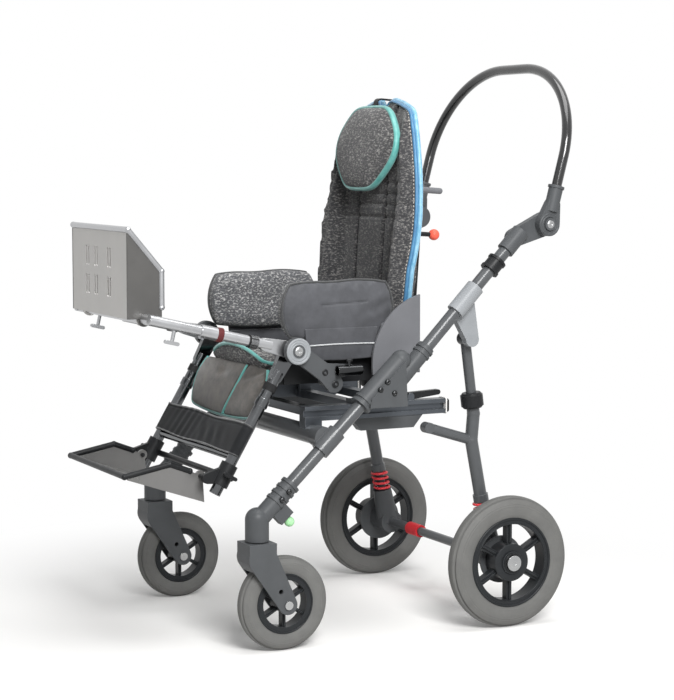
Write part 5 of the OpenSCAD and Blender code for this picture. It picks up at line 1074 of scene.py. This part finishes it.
# %% Back knobs
def rounded(radius, length, soft):
    """A rod's section from its root to a far end with a quarter circle of soft, then the flat end."""
    t = np.linspace(0.0, math.pi / 2, 9)
    end = np.column_stack([radius - soft + soft * np.cos(t), length - soft + soft * np.sin(t)])
    return np.concatenate([[(0.02, 0.0), (radius, 0.0)], end, [(0.02, length)]])


rearward = back_place(0.0, -1.0, 0.0) - back_place(0.0, 0.0, 0.0)
t = np.linspace(0.0, math.pi, 25)
ball = np.column_stack([np.maximum(0.02, 11.0 * np.sin(t)), -11.0 * np.cos(t)])
knob_parts = (
    ("knob_stem_", rounded(4.5, 40.0, 1.0), (118.0, -26.0, 236.0), black_nylon, "black_plastic", 28),
    ("knob_ball_", ball, (118.0, -70.0, 236.0), coral_resin, "red_plastic", 40),
    ("strap_peg_", rounded(6.0, 66.0, 5.0), (100.0, -26.0, 322.0), shell_grey, "black_plastic", 32),
)
for hand, sign in SIDES:
    for part, section, (x, n, h), finish, slot, count in knob_parts:
        knob = turned(part + hand, section, back_place(sign * x, n, h), rearward, finish, "backrest",
                      count)
        if part + hand == "knob_stem_left":
            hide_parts("back_knobs")
print("knobs placed")

# %% [markdown]
# ## Head pad
# The head pad is a flat eight sided cushion with a wide teal band round its edge. It slides
# on its own post, so everything here rides on the headrest. The post's bracket is a bent
# flat bar in the notch of the back's top, so it is a flat outline carried along a bent line.

# %% Head pad
HEAD_TILT = math.radians(7.0)


def head_place(u, v, n):
    """On the back's lines the pad's middle is at n = 21.5 and h = 398, and it leans back by seven degrees."""
    ahead = 21.5 - v * math.sin(HEAD_TILT) + n * math.cos(HEAD_TILT)
    return back_place(u, ahead, 398.0 + v * math.cos(HEAD_TILT) + n * math.sin(HEAD_TILT))


def eight_sided(t):
    """Radius of a softened octagon at angle t: each side is a line at its distance d, and the sides blend by
    (sum of (cos(t - side) / d)^12)^(-1/12)."""
    ways = np.radians([0.0, 47.0, 90.0, 133.0, 180.0, 228.0, 270.0, 312.0])
    away = np.array([124.0, 104.0, 80.0, 104.0, 124.0, 98.0, 82.0, 98.0])
    return np.sum((np.maximum(0.0, np.cos(t[..., None] - ways)) / away) ** 12, axis=-1) ** (-1 / 12)


def head_at(a, b, front):
    """Square shares become rays to the octagon's edge; the thickness of 22 swells from half at the edge."""
    ray = np.maximum(np.abs(a), np.abs(b))
    t = np.arctan2(b * 81.0, a * 122.0)
    edge = ray * eight_sided(t)
    thick = 22.0 * (0.5 + 0.5 * np.sqrt(1 - np.minimum(1.0, ray) ** 4))
    return head_place(edge * np.cos(t), edge * np.sin(t), 0.6 + front * thick)


head_rim = once_round(head_at, 0.55)
head_verts, head_faces = stuffed("head", head_at, 51, 41, lambda v: near(v, head_rim[::2], 6.0), 4.0, 4.0)
head = make("head_pad_cover", head_verts, head_faces, tweed, "headrest")
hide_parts("head_pad")
band_line = even_line(head_rim, 180, closed=True)
lean = BACK_TILT + HEAD_TILT
run_along("head_band", band_line, ring(4.6, 14, 1.55), teal_tape, "headrest",
          (0.0, -math.cos(lean), math.sin(lean)), closed=True)
print("head faces", len(head_faces))

# %% Head bracket
over_top = np.radians(np.linspace(0.0, 90.0, 10))
bracket_n = np.concatenate([np.full(8, 14.5), 6.5 + 8.0 * np.cos(over_top), np.linspace(5.0, -22.0, 6),
                            -23.0 - 8.0 * np.sin(over_top), np.full(8, -31.0)])
bracket_h = np.concatenate([np.linspace(452.0, 487.0, 8), 488.5 + 8.0 * np.sin(over_top), np.full(6, 496.5),
                            488.5 + 8.0 * np.cos(over_top), np.linspace(486.0, 352.0, 8)])
bracket_line = even_line(back_place(np.zeros(42), bracket_n, bracket_h), 80)
flat_bar = np.array([(-1.6, -7.4), (-1.0, -8.0), (1.0, -8.0), (1.6, -7.4),
                     (1.6, 7.4), (1.0, 8.0), (-1.0, 8.0), (-1.6, 7.4)])
bracket = run_along("head_bracket", bracket_line, flat_bar, black_nylon, "headrest",
                    (1.0, 0.0, 0.0))
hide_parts("head_post")
print("head bracket placed")

# %% [markdown]
# ## Hip pads
# A padded wall stands at each side of the hips: melange weave inside, black nylon outside,
# with a dark welt between them. The right pad is the left one mirrored, so it is blown up
# only once. A nylon flap with a silver stripe hangs from the outer face and hides the seat's edge.

# %% Hip pads
def hip_at(a, b, out):
    """Both faces crown from 0.55 of the half thickness at the rim; the top edge dips by 5 in the middle."""
    f, g = pulled(a, b, 0.5)
    y = -80.0 + f * 116.0
    z = 618.5 + g * 57.0 - 5.0 * np.exp(-((a + 0.15) / 0.45) ** 2) * np.clip(b, 0, 1)
    half = 19.0 * (0.55 + 0.45 * swell(a, b))
    return np.stack([164.0 + (2 * out - 1) * half, y, z], axis=-1)


hip_rim = once_round(hip_at, 1.0)
hip_verts, hip_faces = stuffed("hip", hip_at, 61, 41, lambda v: near(v, hip_rim[::2], 4.0), 4.0, 3.0)
hy, hz = hip_verts[:, 1], hip_verts[:, 2]
outer = np.clip((hip_verts[:, 0] - 168.0) / 6.0, 0.0, 1.0)
creased = np.exp(-((hy - 8.0) / 30.0) ** 2 - ((hz - 622.0) / 26.0) ** 2)
folds = np.sin((hz - 600.0 - 0.42 * (hy + 30.0)) / 5.2) * creased
gathers = np.sin(hy / 4.6) * np.exp(-((hz - 664.0) / 7.0) ** 2) * np.clip((hy + 190.0) / 40.0, 0.0, 1.0)
tucked = np.clip((52.0 - np.abs(hy + 70.0)) / 8.0, 0.0, 1.0)
tuck = np.exp(-((hz - 632.5 - 0.05 * (hy + 21.0)) / 1.9) ** 2) * tucked
hip_verts = pressed(hip_verts, hip_faces, outer * (1.9 * folds + 0.7 * gathers + 2.4 * tuck))
welt_path = even_line(hip_rim, 170, closed=True)
outside = hip_verts[hip_faces].mean(axis=1)[:, 0] > 173.5
for hand, sign in SIDES:
    # The hip pads wear the copy of the weave lightened with painted light.
    pad = make("hip_pad_cover_" + hand, mirrored(hip_verts, sign), hip_faces, hip_tweed_painted_light, "seat")
    pad.data.materials.append(taffeta)
    pad.data.polygons.foreach_set("material_index", outside.astype(np.int32))
    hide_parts("hip_pad_" + hand)
    run_along("hip_welt_" + hand, mirrored(welt_path, sign), ring(2.6, 10), dark_tape, "seat",
              (sign, 0, 0), closed=True)
print("hip faces", len(hip_faces))


# %% Hip skirts
def skirt_at(a, b):
    """A flap from inside the pad's outer face: it falls 58, bellies out and ripples more at its free edge."""
    x = 182.0 + 3.0 * b - 6.0 * b * b + 1.3 * b * np.sin(8.0 * a + 1.5 * b)
    return np.stack([x, -76.0 + a * (76.0 - 5.0 * b), 584.0 - 58.0 * b - 3.0 * (1 - a * a) * b], axis=-1)


def thickened(piece, thick_mm):
    """Gives an open sheet a thickness, half of it on each side."""
    wall = piece.modifiers.new("cloth thickness", "SOLIDIFY")
    wall.thickness = thick_mm / 1000.0
    wall.offset = 0.0


skirt_a, skirt_b = np.meshgrid(np.linspace(-1, 1, 81), np.linspace(0, 1, 31), indexing="ij")
stripe_a = np.linspace(-0.97, 0.97, 70)
stripe_path = skirt_at(stripe_a, 0.50 + 0.05 * stripe_a ** 2) + (1.5, 0.0, 0.0)
skirt_verts = skirt_at(skirt_a, skirt_b).reshape(-1, 3)
for hand, sign in SIDES:
    skirt = make("hip_skirt_" + hand, mirrored(skirt_verts, sign), quads(81, 31)[:, ::-sign], taffeta,
                 "seat", solid=False)
    thickened(skirt, 1.6)
    run_along("hip_stripe_" + hand, mirrored(stripe_path, sign), ring(2.4, 10, 0.6), silver_tape, "seat",
              (0, 0.1, 1))
print("hip skirts", len(skirt.data.polygons))

# %% [markdown]
# ## Calf band
# A broad nylon band is stretched across the front of both leg tubes and wrapped round them.
# It is one sheet of cloth, so its surface is a path across with creases along the leg where it is
# pulled, given a little thickness.

# %% Calf band
KNEE = (-184.0, 547.0)
shin = math.radians(59.5)
shin_u = np.array([-math.cos(shin), -math.sin(shin)])
shin_n = np.array([-math.sin(shin), math.cos(shin)])


def band_at(a, b):
    """Straight between the tubes with a slight sag, then 100 degrees round each; creases are waves across."""
    radius = 13.0
    w = np.maximum(0.0, (np.abs(a) - 0.88) / 0.12)
    turn = np.radians(100.0 * w)
    x = np.where(w > 0, np.sign(a) * (182.0 + radius * np.sin(turn)), a / 0.88 * 182.0)
    gather = 1.3 * np.sin(31.0 * a + 2.4 * b) * np.exp(-((a - 0.3) / 0.3) ** 2 - ((b + 0.25) / 0.6) ** 2)
    gather = gather + 0.7 * np.sin(47.0 * a - 1.5 * b + 1.0) * np.exp(-((a + 0.35) / 0.35) ** 2)
    gather = gather - 1.2 * np.exp(-((b - 0.8) / 0.08) ** 2)
    sag = -2.0 * (1 - np.minimum(1, np.abs(a) / 0.88) ** 2)
    n = radius * np.cos(turn) + sag + gather * np.where(w > 0, 0.4, 1.0)
    s = 192.0 - b * 30.0 + 1.5 * np.sin(6.0 * a) * b
    y = KNEE[0] + s * shin_u[0] + n * shin_n[0]
    return np.stack([x, y, KNEE[1] + s * shin_u[1] + n * shin_n[1]], axis=-1)


band_a, band_b = np.meshgrid(np.linspace(-1, 1, 181), np.linspace(-1, 1, 61), indexing="ij")
band = make("calf_band_cloth", band_at(band_a, band_b).reshape(-1, 3), quads(181, 61), stretch, "legrest",
            solid=False)
thickened(band, 2.4)
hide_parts("calf_band")
for edge, word in ((0.97, "upper"), (-0.97, "lower")):
    hem = band_at(np.linspace(-0.995, 0.995, 150), np.full(150, edge))
    run_along("calf_hem_" + word, hem, ring(1.9, 8), dark_tape, "legrest", (0.0, *shin_n))
print("calf band", len(band.data.polygons))

# %% [markdown]
# ## Knee and hinge discs
# Where the legrest and front arms turn there is a large nylon disc with rings and a bright
# screw, and the handle's hinge has a smaller one. Turned sections with shallow ridges do it.

# %% Discs
def ridged(inner, outer, count, rise):
    """A flat ring whose face rises and falls count times: rise (1 - cos) / 2 across the radius."""
    r = np.linspace(outer, inner, 12 * count + 1)
    wave = rise * (1 - np.cos(2 * math.pi * count * (r - inner) / (outer - inner))) / 2
    face = np.column_stack([r, wave + 0.4])
    return np.concatenate([face, [(inner, -0.8), (outer, -0.8)]])


links = [(210.6, -124.0, 504.0), (214.6, -104.0, 482.0)]
disc_parts = (
    ("knee_rings_", ridged(10.0, 24.4, 3, 1.0), (222.7, *KNEE), silver_coat, "seat", "frame_metal", 64),
    ("link_bolts_", ridged(2.2, 6.4, 1, 0.8), links, black_nylon, "seat", "black_plastic", 32),
    ("knee_screw_", dome(9.0, 2.2, 2.8), (224.6, *KNEE), turned_steel, "seat", "steel", 40),
    ("hinge_rings_", ridged(13.0, 22.0, 2, 1.0), (272.4, *hinge), grey_nylon, "handle", "frame_metal", 64),
    ("hinge_screw_", dome(8.0, 1.8, 3.0), (276.4, *hinge), turned_steel, "chassis", "steel", 40),
)
for hand, sign in SIDES:
    for part, section, spots, finish, body, slot, count in disc_parts:
        turned(part + hand, section, mirrored(spots, sign), (sign, 0, 0), finish, body, count)
print("discs placed")

# %% [markdown]
# ## Straps and ferrules
# Webbing straps hold the pads to the leg tubes and the front arms, and a maroon rubber
# ferrule ends each arm's sleeve. A strap is a flat outline carried once round the tube, and
# a ferrule is a turned section.

# %% Straps and ferrules
def on_arm(s, n=0.0):
    """A point beside a front arm: s from the knee along 13.2 degrees upwards to the front, n above it."""
    a = math.radians(13.2)
    y = KNEE[0] - s * math.cos(a) + n * math.sin(a)
    return np.array([y, KNEE[1] + s * math.sin(a) + n * math.cos(a)])


def wrap(name, middle, axis_yz, x, radius, width, body):
    """A webbing loop: a ribbon 1.6 thick and width wide carried once round a tube."""
    t = np.arange(48) * 2 * math.pi / 48
    y = middle[0] - radius * np.sin(t) * axis_yz[1]
    z = middle[1] + radius * np.sin(t) * axis_yz[0]
    path = np.column_stack([x + radius * np.cos(t), y, z])
    flat = np.array([(-0.8, -width / 2), (0.8, -width / 2), (0.8, width / 2), (-0.8, width / 2)])
    return run_along(name, path, flat, webbing, body, (0.0, *axis_yz), closed=True)


ARM_X = 195.6
arm_u = on_arm(1.0) - on_arm(0.0)
ferrule = [(10.1, 0.0), (13.4, 0.0), (13.8, 1.0), (13.2, 10.0), (11.0, 12.0), (10.1, 12.0)]
for hand, sign in SIDES:
    wrap("arm_strap_" + hand, on_arm(84.0), arm_u, sign * ARM_X, 11.2, 18.0, "front_support")
    wrap("leg_strap_" + hand, KNEE + 80.0 * shin_u, shin_u, sign * 182.0, 12.2, 14.0, "legrest")
    turned("arm_ferrule_" + hand, ferrule, (sign * ARM_X, *on_arm(147.0)), (0.0, *arm_u), maroon_rubber,
           "front_support", 40)
print("straps placed")
